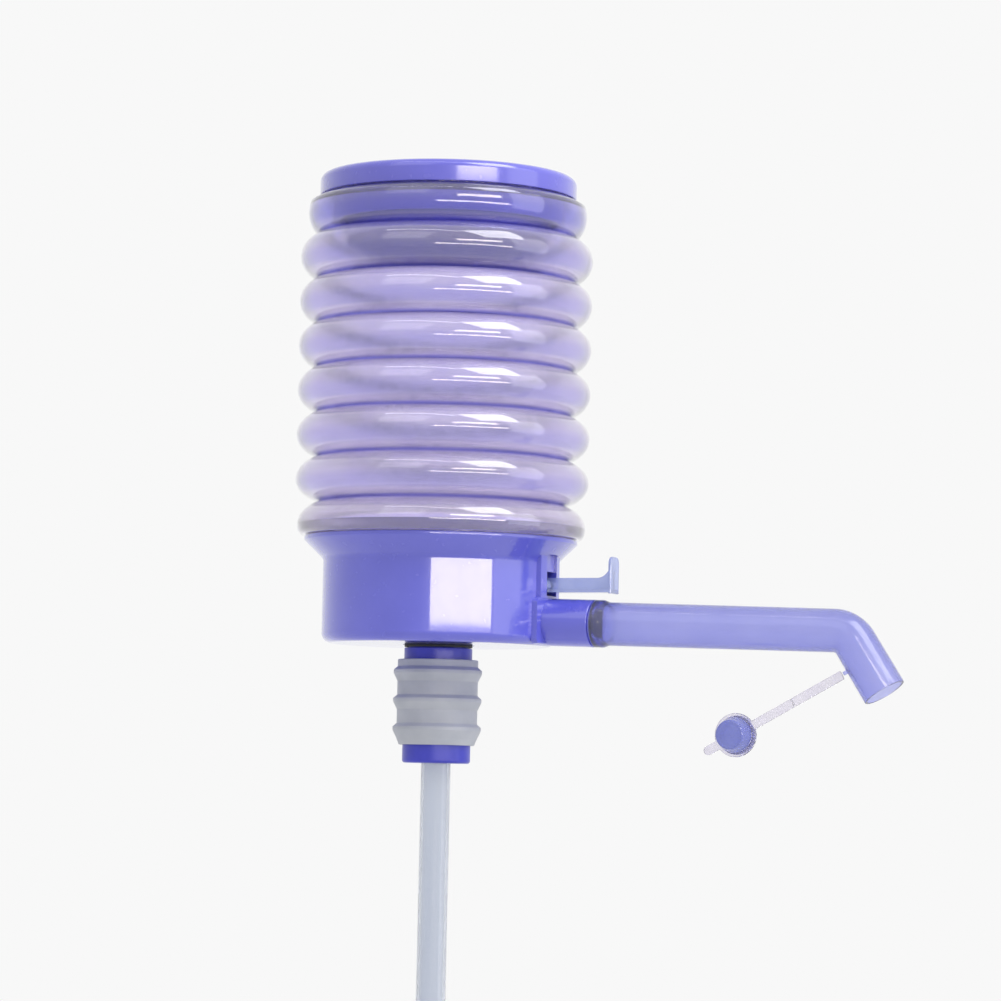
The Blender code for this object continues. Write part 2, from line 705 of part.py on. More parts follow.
def make_cap():
    rim_top = CAP_Z + CAP_RIM_HEIGHT
    edge_center = (CAP_RADIUS - CAP_EDGE_ROUND, rim_top)
    slope = math.sin(CAP_DOME_SLOPE)
    dome_edge = CAP_RADIUS - CAP_EDGE_ROUND * (1 - slope)
    dome_radius = dome_edge / slope
    dome_center = rim_top + (CAP_EDGE_ROUND - dome_radius) * math.cos(CAP_DOME_SLOPE)

    def dome(radius, inset=0):
        return dome_center + math.sqrt(dome_radius**2 - radius**2) - inset

    recess_floor = dome(VENT_RECESS_RADIUS) - VENT_RECESS_DEPTH
    seat_z = recess_floor - VENT_PLATE
    seat_radius = VALVE_DISC_RADIUS + VALVE_SEAT_MARGIN
    skirt_inner = CAP_SKIRT_RADIUS - CAP_SKIRT_WALL
    lip_outer = NECK_RADIUS - NECK_WALL - CLEARANCE
    lip_inner = lip_outer - CAP_LIP_WALL
    lip_bottom = CAP_Z - CAP_LIP_DROP
    channel_top = CAP_Z + NECK_HEIGHT
    under = channel_top + CAP_EDGE_ROUND / 2
    steps = 3
    dome_radii = [VENT_RECESS_RADIUS + (dome_edge - VENT_RECESS_RADIUS) * i / steps for i in range(steps)]
    outline = [
        (0, recess_floor),
        (VENT_RECESS_RADIUS, recess_floor),
        *[(radius, dome(radius)) for radius in dome_radii],
        *arc(edge_center, CAP_EDGE_ROUND, 90 - math.degrees(CAP_DOME_SLOPE), 0, 4),
        (CAP_RADIUS, CAP_Z),
        (CAP_RADIUS - CAP_RIM_WALL, CAP_Z),
        (CAP_RADIUS - CAP_RIM_WALL, channel_top),
        (lip_outer, channel_top),
        (lip_outer, lip_bottom),
        (lip_inner, lip_bottom),
        (lip_inner, under),
        (CAP_SKIRT_RADIUS, under),
        (CAP_SKIRT_RADIUS, CAP_Z - CAP_SKIRT_DROP),
        (skirt_inner, CAP_Z - CAP_SKIRT_DROP),
        (skirt_inner, dome(skirt_inner, CAP_PLATE)),
        (seat_radius, dome(seat_radius, CAP_PLATE)),
        (seat_radius, seat_z),
        (0, seat_z),
    ]
    cap = turned("cap_outline", outline, LARGE_SIDES)
    combine(cap, "DIFFERENCE", *air_holes("cap", seat_z - OVERRUN, recess_floor + OVERRUN))
    settle(cap, "press_cap", material=DEEP_VIOLET)
    disc_valve("intake_valve", seat_z, recess_floor)


# Water elbow, spout tube and O-rings, along the spout's axis


def make_elbow(spout_frame):
    corner = Vector((0, 0, SPOUT_RISE))
    ahead = Vector((math.cos(SPOUT_DROOP), 0, -math.sin(SPOUT_DROOP)))
    turn = math.pi / 2 + SPOUT_DROOP
    reach = ELBOW_BEND * math.tan(turn / 2)
    bend = []
    center = Vector((ELBOW_BEND, 0, SPOUT_RISE - reach))
    for step in range(ELBOW_BEND_STEPS + 1):
        angle = math.pi - turn * step / ELBOW_BEND_STEPS
        bend.append(center + ELBOW_BEND * Vector((math.cos(angle), 0, math.sin(angle))))
    bottom = Vector((0, 0, ELBOW_BOTTOM))
    socket_top = Vector((0, 0, TUBE_SOCKET_TOP + TUBE_SOCKET_WALL))
    end_start = corner + ahead * (ELBOW_END - ELBOW_END_LENGTH)
    end = corner + ahead * ELBOW_END
    seat = corner + ahead * (ELBOW_END - (ELBOW_END_LENGTH + O_RING_SEAT) / 2)
    small = Vector((0, 0, STEP_LENGTH))
    step = ahead * STEP_LENGTH
    socket_radius = TUBE_SOCKET_BORE + TUBE_SOCKET_WALL
    path = [bottom, socket_top, socket_top + small, *bend, end_start - step, end_start]
    radii = [socket_radius, socket_radius] + [ELBOW_RADIUS] * (len(bend) + 2) + [SPIGOT_RADIUS]
    path += [seat - step, seat, seat + ahead * O_RING_SEAT, seat + ahead * O_RING_SEAT + step, end]
    radii += [SPIGOT_RADIUS, O_RING_GROOVE, O_RING_GROOVE, SPIGOT_RADIUS, SPIGOT_RADIUS]
    elbow = swept("elbow_outside", path, radii, TUBE_RESOLUTION)
    bore_start = Vector((0, 0, TUBE_SOCKET_TOP - TUBE_SOCKET_DEPTH / 2))
    bore_path = [bore_start, *bend, end + ahead * OVERRUN]
    bore = swept("elbow_bore", bore_path, [ELBOW_BORE] * len(bore_path), TUBE_RESOLUTION)
    socket_low = (0, 0, ELBOW_BOTTOM - OVERRUN)
    tube_socket = rod("tube_socket", socket_low, (0, 0, TUBE_SOCKET_TOP), TUBE_SOCKET_BORE, MEDIUM_SIDES)
    combine(elbow, "DIFFERENCE", bore, tube_socket)
    settle(elbow, "water_elbow", material=PALE_BLUE)
    ring = sideways(torus("elbow_oring", O_RING_RADIUS, O_RING_WIRE, RUBBER), spout_frame)
    ring.location.x = ELBOW_END - ELBOW_END_LENGTH / 2


def spout_path():
    """Points of the spout's middle line after its collar, and how far along each lies."""
    turn = SPOUT_TURN
    back = SPOUT_BEND * math.tan(turn / 2)
    start = COLLAR_START + COLLAR_LENGTH + COLLAR_CHAMFER
    straight_end = SPOUT_CORNER - back
    points = []
    for step in range(SPOUT_RUN_STEPS):
        points.append(Vector((start + (straight_end - start) * step / SPOUT_RUN_STEPS, 0, 0)))
    for step in range(SPOUT_BEND_STEPS + 1):
        angle = turn * step / SPOUT_BEND_STEPS
        x = straight_end + SPOUT_BEND * math.sin(angle)
        z = SPOUT_BEND * (math.cos(angle) - 1)
        points.append(Vector((x, 0, z)))
    return points


def tip_direction():
    return Vector((math.cos(SPOUT_TURN), 0, -math.sin(SPOUT_TURN)))


def tip_center():
    return Vector((SPOUT_CORNER, 0, 0)) + SPOUT_TIP_LENGTH * tip_direction()


def strap_direction():
    return Vector((-math.cos(STRAP_ANGLE), 0, -math.sin(STRAP_ANGLE)))


def strap_hinge():
    """The point that the strap swings about, just off the lug on the inside of the bend."""
    inward = Vector((-math.sin(SPOUT_TURN), 0, -math.cos(SPOUT_TURN)))
    root = Vector((SPOUT_CORNER, 0, 0)) + STRAP_ROOT_DROP * tip_direction() + SPOUT_TIP_RADIUS * inward
    return root + STRAP_LUG_LENGTH * strap_direction()


def make_spout(spout_frame):
    run = spout_path()
    tip = tip_center()
    run_radii = []
    for point in run:
        share = (point.x - run[0].x) / (run[-1].x - run[0].x)
        run_radii.append(SPOUT_ROOT_RADIUS + (SPOUT_BEND_RADIUS - SPOUT_ROOT_RADIUS) * share)
    along = Vector((1, 0, 0))
    step = along * STEP_LENGTH
    seat = along * ((SPIGOT_START + COLLAR_START) / 2)
    spigot = along * SPIGOT_START
    collar = along * COLLAR_START
    collar_end = collar + along * COLLAR_LENGTH
    path = [spigot, seat - step, seat, seat + along * O_RING_SEAT, seat + along * O_RING_SEAT + step]
    radii = [SPIGOT_RADIUS, SPIGOT_RADIUS, O_RING_GROOVE, O_RING_GROOVE, SPIGOT_RADIUS]
    path += [collar - step, collar, collar_end, *run, tip]
    radii += [SPIGOT_RADIUS, COLLAR_RADIUS, COLLAR_RADIUS, *run_radii, SPOUT_TIP_RADIUS]
    tube = swept("spout_outside", path, radii, TUBE_RESOLUTION)
    bore_path = [spigot - along * OVERRUN, collar_end, *run, tip + tip_direction() * OVERRUN]
    bore_radii = [SPIGOT_BORE, SPIGOT_BORE]
    bore_radii += [radius - SPOUT_WALL for radius in run_radii] + [SPOUT_TIP_RADIUS - SPOUT_WALL]
    bore = swept("spout_bore", bore_path, bore_radii, TUBE_RESOLUTION)
    lug_end = strap_hinge() - STRAP_HINGE_SETBACK / 2 * strap_direction()
    lug_start = lug_end - (STRAP_LUG_LENGTH + SPOUT_WALL) * strap_direction()
    lug = rod("strap_lug", lug_start, lug_end, STRAP_LUG_RADIUS, SMALL_SIDES // 2)
    combine(tube, "UNION", lug)
    combine(tube, "DIFFERENCE", bore)
    settle(tube, "spout_tube", spout_frame, SPOUT_VIOLET)
    ring = sideways(torus("spout_oring", O_RING_RADIUS, O_RING_WIRE, RUBBER), spout_frame)
    ring.location.x = seat.x + O_RING_SEAT / 2


# Strap and dust plug


def plugged_geometry():
    """Where the strap's fold lies so that the plug can reach the mouth and sit square in it."""
    hinge = strap_hinge()
    down = tip_direction()
    across = Vector((math.sin(SPOUT_TURN), 0, math.cos(SPOUT_TURN)))
    seat = tip_center() + down * (STRAP_THICKNESS + CLEARANCE)
    reach = seat - hinge
    outer_length = (STRAP_LENGTH**2 - reach.length_squared) / (2 * (STRAP_LENGTH - reach.dot(across)))
    inner_length = STRAP_LENGTH - outer_length
    fold = seat - outer_length * across
    return inner_length, outer_length, (fold - hinge).normalized(), across


def strap_frame(origin, direction, parent, name):
    """An empty whose X axis runs along the strap and whose Z axis is the side that the plug stands on."""
    side = Vector((0, -1, 0))
    basis = Matrix((direction, side.cross(direction), side)).transposed()
    return pivot(name, origin, basis.to_euler(), parent)


def make_strap(spout_frame):
    inner_length, outer_length, plugged_direction, across = plugged_geometry()
    direction = strap_direction()
    root = strap_frame(strap_hinge(), direction, spout_frame, "strap_root_pivot")
    half_width = STRAP_WIDTH / 2
    inner = block(
        "strap_inner_bar",
        (STRAP_HINGE_SETBACK, -half_width, -STRAP_THICKNESS),
        (inner_length - STRAP_FOLD_GAP, half_width, 0),
        STRAP_THICKNESS / 6,
        1,
    )
    settle(inner, "plug_strap_inner", root, PALE)
    fold = pivot("strap_fold_pivot", (inner_length, 0, 0), parent=root)
    bar = block(
        "strap_outer_bar",
        (STRAP_FOLD_GAP, -half_width, -STRAP_THICKNESS),
        (outer_length, half_width, 0),
        STRAP_THICKNESS / 6,
        1,
    )
    ring_place = ((outer_length, 0, -STRAP_THICKNESS), (outer_length, 0, 0))
    ring = rod("plug_ring", *ring_place, PLUG_RING_RADIUS, MEDIUM_SIDES)
    tail_low = -STRAP_THICKNESS + STRAP_THICKNESS / 12
    tail_high = -STRAP_THICKNESS / 12
    tail_end = outer_length + PLUG_TAB_REACH - half_width
    tail = block("plug_tail", (outer_length, -half_width, tail_low), (tail_end, half_width, tail_high))
    tail_round = rod("plug_tail_round", (tail_end, 0, tail_low), (tail_end, 0, tail_high), half_width)
    hole_low = (outer_length, 0, -STRAP_THICKNESS - OVERRUN)
    hole = rod("plug_hole", hole_low, (outer_length, 0, OVERRUN), PLUG_RING_HOLE, MEDIUM_SIDES)
    combine(bar, "UNION", ring, tail, tail_round)
    combine(bar, "DIFFERENCE", hole)
    settle(bar, "plug_strap_outer", fold, PALE)
    back = -STRAP_THICKNESS - CLEARANCE
    top = CLEARANCE + PLUG_LENGTH
    outline = [
        (0, top),
        (PLUG_END_RADIUS - PLUG_EDGE, top),
        (PLUG_END_RADIUS, top - PLUG_EDGE),
        (PLUG_RADIUS, CLEARANCE),
        (PLUG_NECK_RADIUS, CLEARANCE),
        (PLUG_NECK_RADIUS, back),
        (PLUG_LIP_RADIUS, back),
        (PLUG_LIP_RADIUS, back - PLUG_LIP),
        (PLUG_NECK_RADIUS - PLUG_WALL, back - PLUG_LIP),
        (PLUG_END_RADIUS - PLUG_WALL, top - PLUG_WALL),
        (0, top - PLUG_WALL),
    ]
    plug = settle(turned("plug_outline", outline, MEDIUM_SIDES), "dust_plug", fold, DEEP_VIOLET)
    plug.location = (outer_length, 0, 0)


# Release lever, pin, vent chamber and release valve


def make_lever():
    pin = pivot("lever_pivot", (PIN_X, 0, PIN_HEIGHT))
    bottom = -LEVER_FALL
    tab_back = LEVER_REACH - TAB_THICKNESS
    curve = []
    for step in range(TAB_CURVE_STEPS + 1):
        angle = math.pi / 2 * step / TAB_CURVE_STEPS
        x = tab_back - TAB_CURVE_LENGTH + TAB_CURVE_LENGTH * math.sin(angle)
        z = LEVER_RISE + (TAB_RISE - TAB_ROUND / 3 - LEVER_RISE) * (1 - math.cos(angle))
        curve.append((x, z))
    web_end = tab_back + TAB_THICKNESS / 2
    outline = [(0, bottom + LEVER_FLANGE / 2), (web_end, bottom + LEVER_FLANGE / 2)]
    outline += [(web_end, curve[-1][1]), *reversed(curve), (0, LEVER_RISE)]
    upright = Matrix.Rotation(math.pi / 2, 4, "X")
    web = plate("lever_web", outline, LEVER_WEB, upright)
    half = LEVER_WIDTH / 2
    hub = rod("lever_hub", (0, -half, 0), (0, half, 0), LEVER_HUB_RADIUS, SMALL_SIDES)
    flange = block("lever_flange", (0, -half, bottom), (web_end, half, bottom + LEVER_FLANGE))
    shoulder = TAB_RISE - TAB_ROUND
    tab_outline = [(-half, -TAB_FALL), (half, -TAB_FALL)]
    tab_outline += arc((half - TAB_ROUND, shoulder), TAB_ROUND, 0, 90, 3)
    tab_outline += arc((TAB_ROUND - half, shoulder), TAB_ROUND, 90, 180, 3)
    facing_out = Matrix(((0, 0, 1), (1, 0, 0), (0, 1, 0))).to_4x4()
    tab_place = Matrix.Translation((tab_back + TAB_THICKNESS / 2, 0, 0)) @ facing_out
    tab = plate("lever_tab", tab_outline, TAB_THICKNESS, tab_place)
    fork_low = -FORK_FALL
    fork_end = -RELEASE_SEAT_INSET - FORK_OVERREACH
    fork = block(
        "lever_fork",
        (fork_end, -FORK_WIDTH / 2, fork_low),
        (0, FORK_WIDTH / 2, fork_low + FORK_THICKNESS),
    )
    notch = block(
        "fork_notch",
        (fork_end - OVERRUN, -FORK_SLOT / 2, fork_low - OVERRUN),
        (-RELEASE_SEAT_INSET + FORK_OVERREACH, FORK_SLOT / 2, fork_low + FORK_THICKNESS + OVERRUN),
    )
    hole_half = half + OVERRUN
    hole = rod("lever_hole", (0, -hole_half, 0), (0, hole_half, 0), PIN_RADIUS + RUNNING_CLEARANCE)
    combine(hub, "UNION", web, flange, tab, fork)
    combine(hub, "DIFFERENCE", notch, hole)
    settle(hub, "release_lever", pin, PALE_BLUE)
    ends = ((PIN_X, -PIN_LENGTH / 2, PIN_HEIGHT), (PIN_X, PIN_LENGTH / 2, PIN_HEIGHT))
    rod("lever_pin", *ends, PIN_RADIUS, SMALL_SIDES, PARTS, STEEL)


def make_chamber():
    back = HOUSING_INNER - CHAMBER_DEPTH
    half = CHAMBER_WIDTH / 2
    bottom = CHAMBER_FLOOR - CHAMBER_WALL
    box = block("chamber_box", (back, -half, bottom), (HOUSING_RADIUS, half, CHAMBER_TOP), CHAMBER_WALL / 2, 2)
    low = bottom - OVERRUN
    wall = rod("chamber_wall", (0, 0, low), (0, 0, CHAMBER_TOP + OVERRUN), HOUSING_INNER - CLEARANCE, LARGE_SIDES * 2)
    hollow = block(
        "chamber_hollow",
        (back + CHAMBER_WALL, -half + CHAMBER_WALL, CHAMBER_FLOOR),
        (HOUSING_RADIUS + OVERRUN, half - CHAMBER_WALL, CHAMBER_TOP - CHAMBER_WALL),
    )
    seat = rod("release_seat", (RELEASE_X, 0, low), (RELEASE_X, 0, CHAMBER_FLOOR + OVERRUN), RELEASE_SEAT_HOLE)
    combine(box, "INTERSECT", wall)
    combine(box, "DIFFERENCE", hollow, seat)
    settle(box, "vent_chamber", material=PALE_BLUE)


def make_release_valve():
    pad_bottom = CHAMBER_FLOOR + RUNNING_CLEARANCE
    pad_top = pad_bottom + RELEASE_PAD_THICKNESS
    disc_bottom = pad_top + RUNNING_CLEARANCE
    disc_top = disc_bottom + RELEASE_DISC_THICKNESS
    collar_bottom = PIN_HEIGHT - FORK_FALL + FORK_THICKNESS + CLEARANCE
    collar_top = collar_bottom + RELEASE_COLLAR_THICKNESS
    lift = pivot("release_pivot", (RELEASE_X, 0, 0))
    pad = [(0, pad_top), (RELEASE_PAD_RADIUS, pad_top), (RELEASE_PAD_RADIUS, pad_bottom), (0, pad_bottom)]
    settle(turned("pad_outline", pad, MEDIUM_SIDES), "release_pad", lift, RUBBER)
    stem = [
        (0, collar_top + RELEASE_GUIDE_LENGTH),
        (RELEASE_SHAFT_RADIUS, collar_top + RELEASE_GUIDE_LENGTH),
        (RELEASE_SHAFT_RADIUS, collar_top),
        (RELEASE_COLLAR_RADIUS, collar_top),
        (RELEASE_COLLAR_RADIUS, collar_bottom),
        (RELEASE_SHAFT_RADIUS, collar_bottom),
        (RELEASE_SHAFT_RADIUS, disc_top),
        (RELEASE_DISC_RADIUS, disc_top),
        (RELEASE_DISC_RADIUS, disc_bottom),
        (0, disc_bottom),
    ]
    settle(turned("stem_outline", stem, SMALL_SIDES), "release_stem", lift, PALE)
    low = collar_top + SPRING_WIRE + RUNNING_CLEARANCE
    high = CHAMBER_TOP - CHAMBER_WALL - SPRING_WIRE - RUNNING_CLEARANCE
    count = SPRING_TURNS * SPRING_POINTS_PER_TURN
    points = []
    for step in range(count + 1):
        angle = math.tau * step / SPRING_POINTS_PER_TURN
        height = low + (high - low) * step / count
        points.append(Vector((SPRING_RADIUS * math.cos(angle), SPRING_RADIUS * math.sin(angle), height)))
    gap = points[SPRING_POINTS_PER_TURN].z - points[0].z - 2 * SPRING_WIRE
    print(f"release spring: least gap between turns {gap:.5f} m")
    spring = swept("release_spring", points, [SPRING_WIRE] * len(points), WIRE_RESOLUTION, PARTS, STEEL)
    spring.parent = lift


# Neck stem, gasket, stopper sleeve


def make_stem():
    bottom = -STEM_LENGTH
    bead = STEM_NECK_RADIUS + STEM_BEAD
    outline = [
        (STEM_NECK_RADIUS, STEM_TOP),
        (bead, STEM_TOP - STEM_BEAD_HEIGHT / 2),
        (bead, STEM_TOP - STEM_BEAD_HEIGHT),
        (STEM_NECK_RADIUS, STEM_TOP - STEM_BEAD_HEIGHT),
        (STEM_NECK_RADIUS, STEM_SHOULDER),
        (STEM_RADIUS, STEM_SHOULDER),
        (STEM_RADIUS, bottom + STEM_CHAMFER),
        (STEM_RADIUS - STEM_CHAMFER, bottom),
        (STEM_BORE, bottom),
        (STEM_BORE, STEM_TOP),
    ]
    stem = turned("stem_shell", outline, MEDIUM_SIDES)
    hub_top = bottom + HUB_LENGTH
    hub_outer = TUBE_SOCKET_BORE + HUB_WALL
    rib_end = (STEM_BORE + STEM_RADIUS) / 2
    hub = [
        (hub_outer, hub_top),
        (hub_outer, bottom),
        (TUBE_SOCKET_BORE, bottom),
        (TUBE_SOCKET_BORE, hub_top),
    ]
    ring = turned("stem_hub", hub, MEDIUM_SIDES)
    ribs = []
    for index in range(HUB_RIB_COUNT):
        rib_start = (TUBE_SOCKET_BORE + hub_outer) / 2
        low = (rib_start, -HUB_RIB_WIDTH / 2, bottom + STEM_CHAMFER)
        rib = block(f"stem_rib_{index}", low, (rib_end, HUB_RIB_WIDTH / 2, hub_top - STEM_CHAMFER))
        rib.rotation_euler.z = math.tau * index / HUB_RIB_COUNT
        ribs.append(rib)
    bpy.context.view_layer.update()
    combine(stem, "UNION", *ribs, ring)
    settle(stem, "neck_stem", material=STEM_BLUE)
    gasket_bottom = STEM_GASKET_TOP - STEM_GASKET_THICKNESS
    gasket_inner = STEM_NECK_RADIUS + CLEARANCE
    gasket = [
        (STEM_RADIUS, STEM_GASKET_TOP),
        (STEM_RADIUS, gasket_bottom),
        (gasket_inner, gasket_bottom),
        (gasket_inner, STEM_GASKET_TOP),
    ]
    settle(turned("stem_gasket_outline", gasket, MEDIUM_SIDES), "stem_gasket", material=RUBBER)


def make_sleeve():
    inner = STEM_RADIUS + CLEARANCE
    body = inner + SLEEVE_WALL
    crest = body + SLEEVE_RIB
    top = -SLEEVE_TOP_GAP
    bottom = top - SLEEVE_LENGTH
    pitch = SLEEVE_LENGTH / SLEEVE_RIB_COUNT
    outline = [(body, top)]
    for index in range(SLEEVE_RIB_COUNT):
        high = top - pitch * index - pitch / 4
        outline.append((body, high))
        outline.append((crest, high - SLEEVE_RIB_HEIGHT / 3))
        outline.append((crest, high - SLEEVE_RIB_HEIGHT * 2 / 3))
        outline.append((body, high - SLEEVE_RIB_HEIGHT * 3 / 2))
    outline += [(body - SLEEVE_WALL / 2, bottom), (inner, bottom), (inner, top)]
    settle(turned("sleeve_outline", outline, MEDIUM_SIDES), "stopper_sleeve", material=SILICONE)


# Dip tube, couplings and strainer


def make_dip_tube():
    names = ("dip_tube_upper", "dip_tube_middle", "dip_tube_lower")
    top = DIP_TOP
    sleeve_inner = DIP_RADIUS + CLEARANCE
    sleeve_outer = sleeve_inner + COUPLING_WALL
    for index in range(DIP_COUNT):
        bottom = top - DIP_LENGTH
        tube = [(DIP_RADIUS, top), (DIP_RADIUS, bottom), (DIP_BORE, bottom), (DIP_BORE, top)]
        settle(turned(names[index] + "_outline", tube, SMALL_SIDES), names[index], material=PALE)
        if index < DIP_COUNT - 1:
            middle = bottom - CLEARANCE - COUPLING_STOP / 2
            high = middle + COUPLING_LENGTH / 2
            low = middle - COUPLING_LENGTH / 2
            stop_high = middle + COUPLING_STOP / 2
            stop_low = middle - COUPLING_STOP / 2
            chamfer = sleeve_outer - COUPLING_CHAMFER
            outline = [
                (chamfer, high),
                (sleeve_outer, high - COUPLING_CHAMFER),
                (sleeve_outer, low + COUPLING_CHAMFER),
                (chamfer, low),
                (sleeve_inner, low),
                (sleeve_inner, stop_low),
                (DIP_BORE, stop_low),
                (DIP_BORE, stop_high),
                (sleeve_inner, stop_high),
                (sleeve_inner, high),
            ]
            name = ("tube_coupling_upper", "tube_coupling_lower")[index]
            settle(turned(name + "_outline", outline, SMALL_SIDES), name, material=VIOLET)
            bottom = stop_low - CLEARANCE
        top = bottom
    return top


def make_strainer(tube_end):
    inner = DIP_RADIUS + CLEARANCE
    outer = inner + COUPLING_WALL
    cage = outer + STRAINER_SWELL
    stop = tube_end - CLEARANCE
    high = stop + STRAINER_SOCKET
    low = stop - STRAINER_CAGE
    outline = [
        (outer - COUPLING_CHAMFER, high),
        (outer, high - COUPLING_CHAMFER),
        (outer, stop),
        (cage, stop - STRAINER_SWELL),
        (cage, low + STRAINER_SWELL),
        (outer, low),
        (0, low),
    ]
    body = turned("strainer_outside", [(0, high), *outline], MEDIUM_SIDES)
    socket = rod("strainer_socket", (0, 0, stop), (0, 0, high + OVERRUN), inner, MEDIUM_SIDES)
    floor = low + STRAINER_FLOOR
    hollow = rod("strainer_hollow", (0, 0, floor), (0, 0, stop + OVERRUN), DIP_BORE, MEDIUM_SIDES)
    slots = []
    slot_low = floor + STRAINER_FLOOR
    for index in range(STRAINER_SLOTS):
        low_corner = (-cage - OVERRUN, -STRAINER_SLOT_WIDTH / 2, slot_low)
        high_corner = (cage + OVERRUN, STRAINER_SLOT_WIDTH / 2, slot_low + STRAINER_SLOT_HEIGHT)
        slot = block(f"strainer_slot_{index}", low_corner, high_corner)
        slot.rotation_euler.z = math.pi * index / STRAINER_SLOTS
        slots.append(slot)
    bpy.context.view_layer.update()
    combine(body, "DIFFERENCE", socket, hollow, *slots)
    settle(body, "foot_strainer", material=VIOLET)


def main():
    spout_frame = pivot("spout_axis", (0, 0, SPOUT_RISE), (0, SPOUT_DROOP, 0))
    make_housing(spout_frame)
    make_deck()
    make_bellows()
    make_cap()
    make_elbow(spout_frame)
    make_spout(spout_frame)
    make_strap(spout_frame)
    make_lever()
    make_chamber()
    make_release_valve()
    make_stem()
    make_sleeve()
    make_strainer(make_dip_tube())


main()
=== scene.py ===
import math

import bmesh
import bpy
import numpy
from mathutils import Matrix, Vector


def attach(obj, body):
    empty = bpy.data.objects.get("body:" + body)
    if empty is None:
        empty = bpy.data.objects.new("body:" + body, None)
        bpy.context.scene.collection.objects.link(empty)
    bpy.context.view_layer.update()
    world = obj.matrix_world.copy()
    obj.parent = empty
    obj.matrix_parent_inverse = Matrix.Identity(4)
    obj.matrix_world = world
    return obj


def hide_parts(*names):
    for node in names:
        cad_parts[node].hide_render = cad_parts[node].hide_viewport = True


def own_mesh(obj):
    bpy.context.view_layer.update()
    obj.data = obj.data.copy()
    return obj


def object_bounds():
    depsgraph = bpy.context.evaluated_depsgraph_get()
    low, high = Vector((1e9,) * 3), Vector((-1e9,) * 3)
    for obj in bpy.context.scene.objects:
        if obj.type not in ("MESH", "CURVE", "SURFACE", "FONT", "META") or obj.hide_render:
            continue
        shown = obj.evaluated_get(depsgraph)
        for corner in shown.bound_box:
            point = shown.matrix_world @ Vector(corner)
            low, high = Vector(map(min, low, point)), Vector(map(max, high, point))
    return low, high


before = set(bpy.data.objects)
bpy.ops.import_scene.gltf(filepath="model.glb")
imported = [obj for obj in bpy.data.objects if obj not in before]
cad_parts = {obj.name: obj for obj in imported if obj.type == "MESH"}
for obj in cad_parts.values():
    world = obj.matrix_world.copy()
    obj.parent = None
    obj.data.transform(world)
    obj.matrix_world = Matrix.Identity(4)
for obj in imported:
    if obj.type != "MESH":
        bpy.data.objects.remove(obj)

# Lengths are in millimetres until a mesh is made. Z is the pump's axis, X runs towards the spout.
MM = 0.001
CAD_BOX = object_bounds()
# The gap that seated pieces keep, and how many sides a turned form has.
SEAT_GAP = 0.3
FINE = 168
ROUND = 64
SMALL = 36

# Housing
WALL_RADIUS = 35.9
WALL_INNER = 33.7
HOUSING_TOP = 32.574
FLARE_RADIUS = 41.85
FLOOR = 1.6
LEDGE = 26.174
POCKET_RADIUS = 34.95

# Bellows
CREST_COUNT = 8
CREST_PITCH = 13.72
FIRST_CREST = 36.274
LOW_CREST_RADIUS = 44.1
CREST_RADIUS = 44.9
TOP_CREST_RADIUS = 42.8
GROOVE_RADII = (39.0, 37.0, 38.0, 38.4, 38.9, 39.0, 39.0, 39.0, 39.0)
BELLOWS_WALL = 1.0

# Press cap
CAP_RADIUS = 39.5
CAP_BOTTOM = 137.414
CAP_RIM = 4.4
CAP_ROUND = 2.4
CAP_SLOPE = math.radians(6)
NECK_HEIGHT = 3.8

# Spout, in its own frame that droops a little from the pump's axis
SPOUT_RISE = 8.014
SPOUT_DROOP = math.radians(1.4)
SOCKET_END = 51.7
SOCKET_RADIUS = 7.2
SOCKET_BORE = 5.9
ELBOW_END = 38.45
SEAL_GROOVE = 45.375
SPOUT_CORNER = 131.9
SPOUT_BEND = 8.0
SPOUT_TURN = math.radians(56)
TIP_LENGTH = 21.3
TIP_RADIUS = 6.5
SPOUT_WALL = 0.8

# Water elbow and dip tube
ELBOW_DROP = 22.24
ELBOW_BEND = 8
ELBOW_RADIUS = 4.4
ELBOW_BORE = 3.4
TUBE_RADIUS = 4.5
TUBE_BORE = 3.5
TUBE_LENGTH = 142
TUBE_FIT = 4.8
TUBE_SOCKET = 12
COUPLING_RADIUS = 6

# Strap and plug
STRAP_ROOT_DROP = 10
STRAP_ANGLE = math.radians(30.1)
STRAP_WIDTH = 2.7
STRAP_THICKNESS = 1.2
STRAP_INNER = 17.776
STRAP_OUTER = 20.224

# Lever
PIN = (35.5, 18.174)
PIN_HOLE = 0.95
SLOT_WIDTH = 7.2
LEVER_REACH = 22.35


def linear(colour):
    """An sRGB hex colour as the linear one that the shaders use."""
    shares = [int(colour[at:at + 2], 16) / 255 for at in (1, 3, 5)]
    return (*[s / 12.92 if s <= 0.04045 else ((s + 0.055) / 1.055) ** 2.4 for s in shares], 1)


def add(tree, kind, settings=None, links=None):
    """Add a node with its settings and with what feeds its inputs."""
    node = tree.nodes.new(kind)
    for name, value in (settings or {}).items():
        if name in node.inputs:
            node.inputs[name].default_value = value
        else:
            setattr(node, name, value)
    for name, source in (links or {}).items():
        tree.links.new(source, node.inputs[name])
    return node


# Shapes


def made(name, solid):
    """Turn a bmesh in millimetres into an object in metres."""
    bmesh.ops.recalc_face_normals(solid, faces=solid.faces)
    bmesh.ops.scale(solid, vec=(MM, MM, MM), verts=solid.verts)
    mesh = bpy.data.meshes.new(name)
    solid.to_mesh(mesh)
    solid.free()
    obj = bpy.data.objects.new(name, mesh)
    bpy.context.scene.collection.objects.link(obj)
    return obj


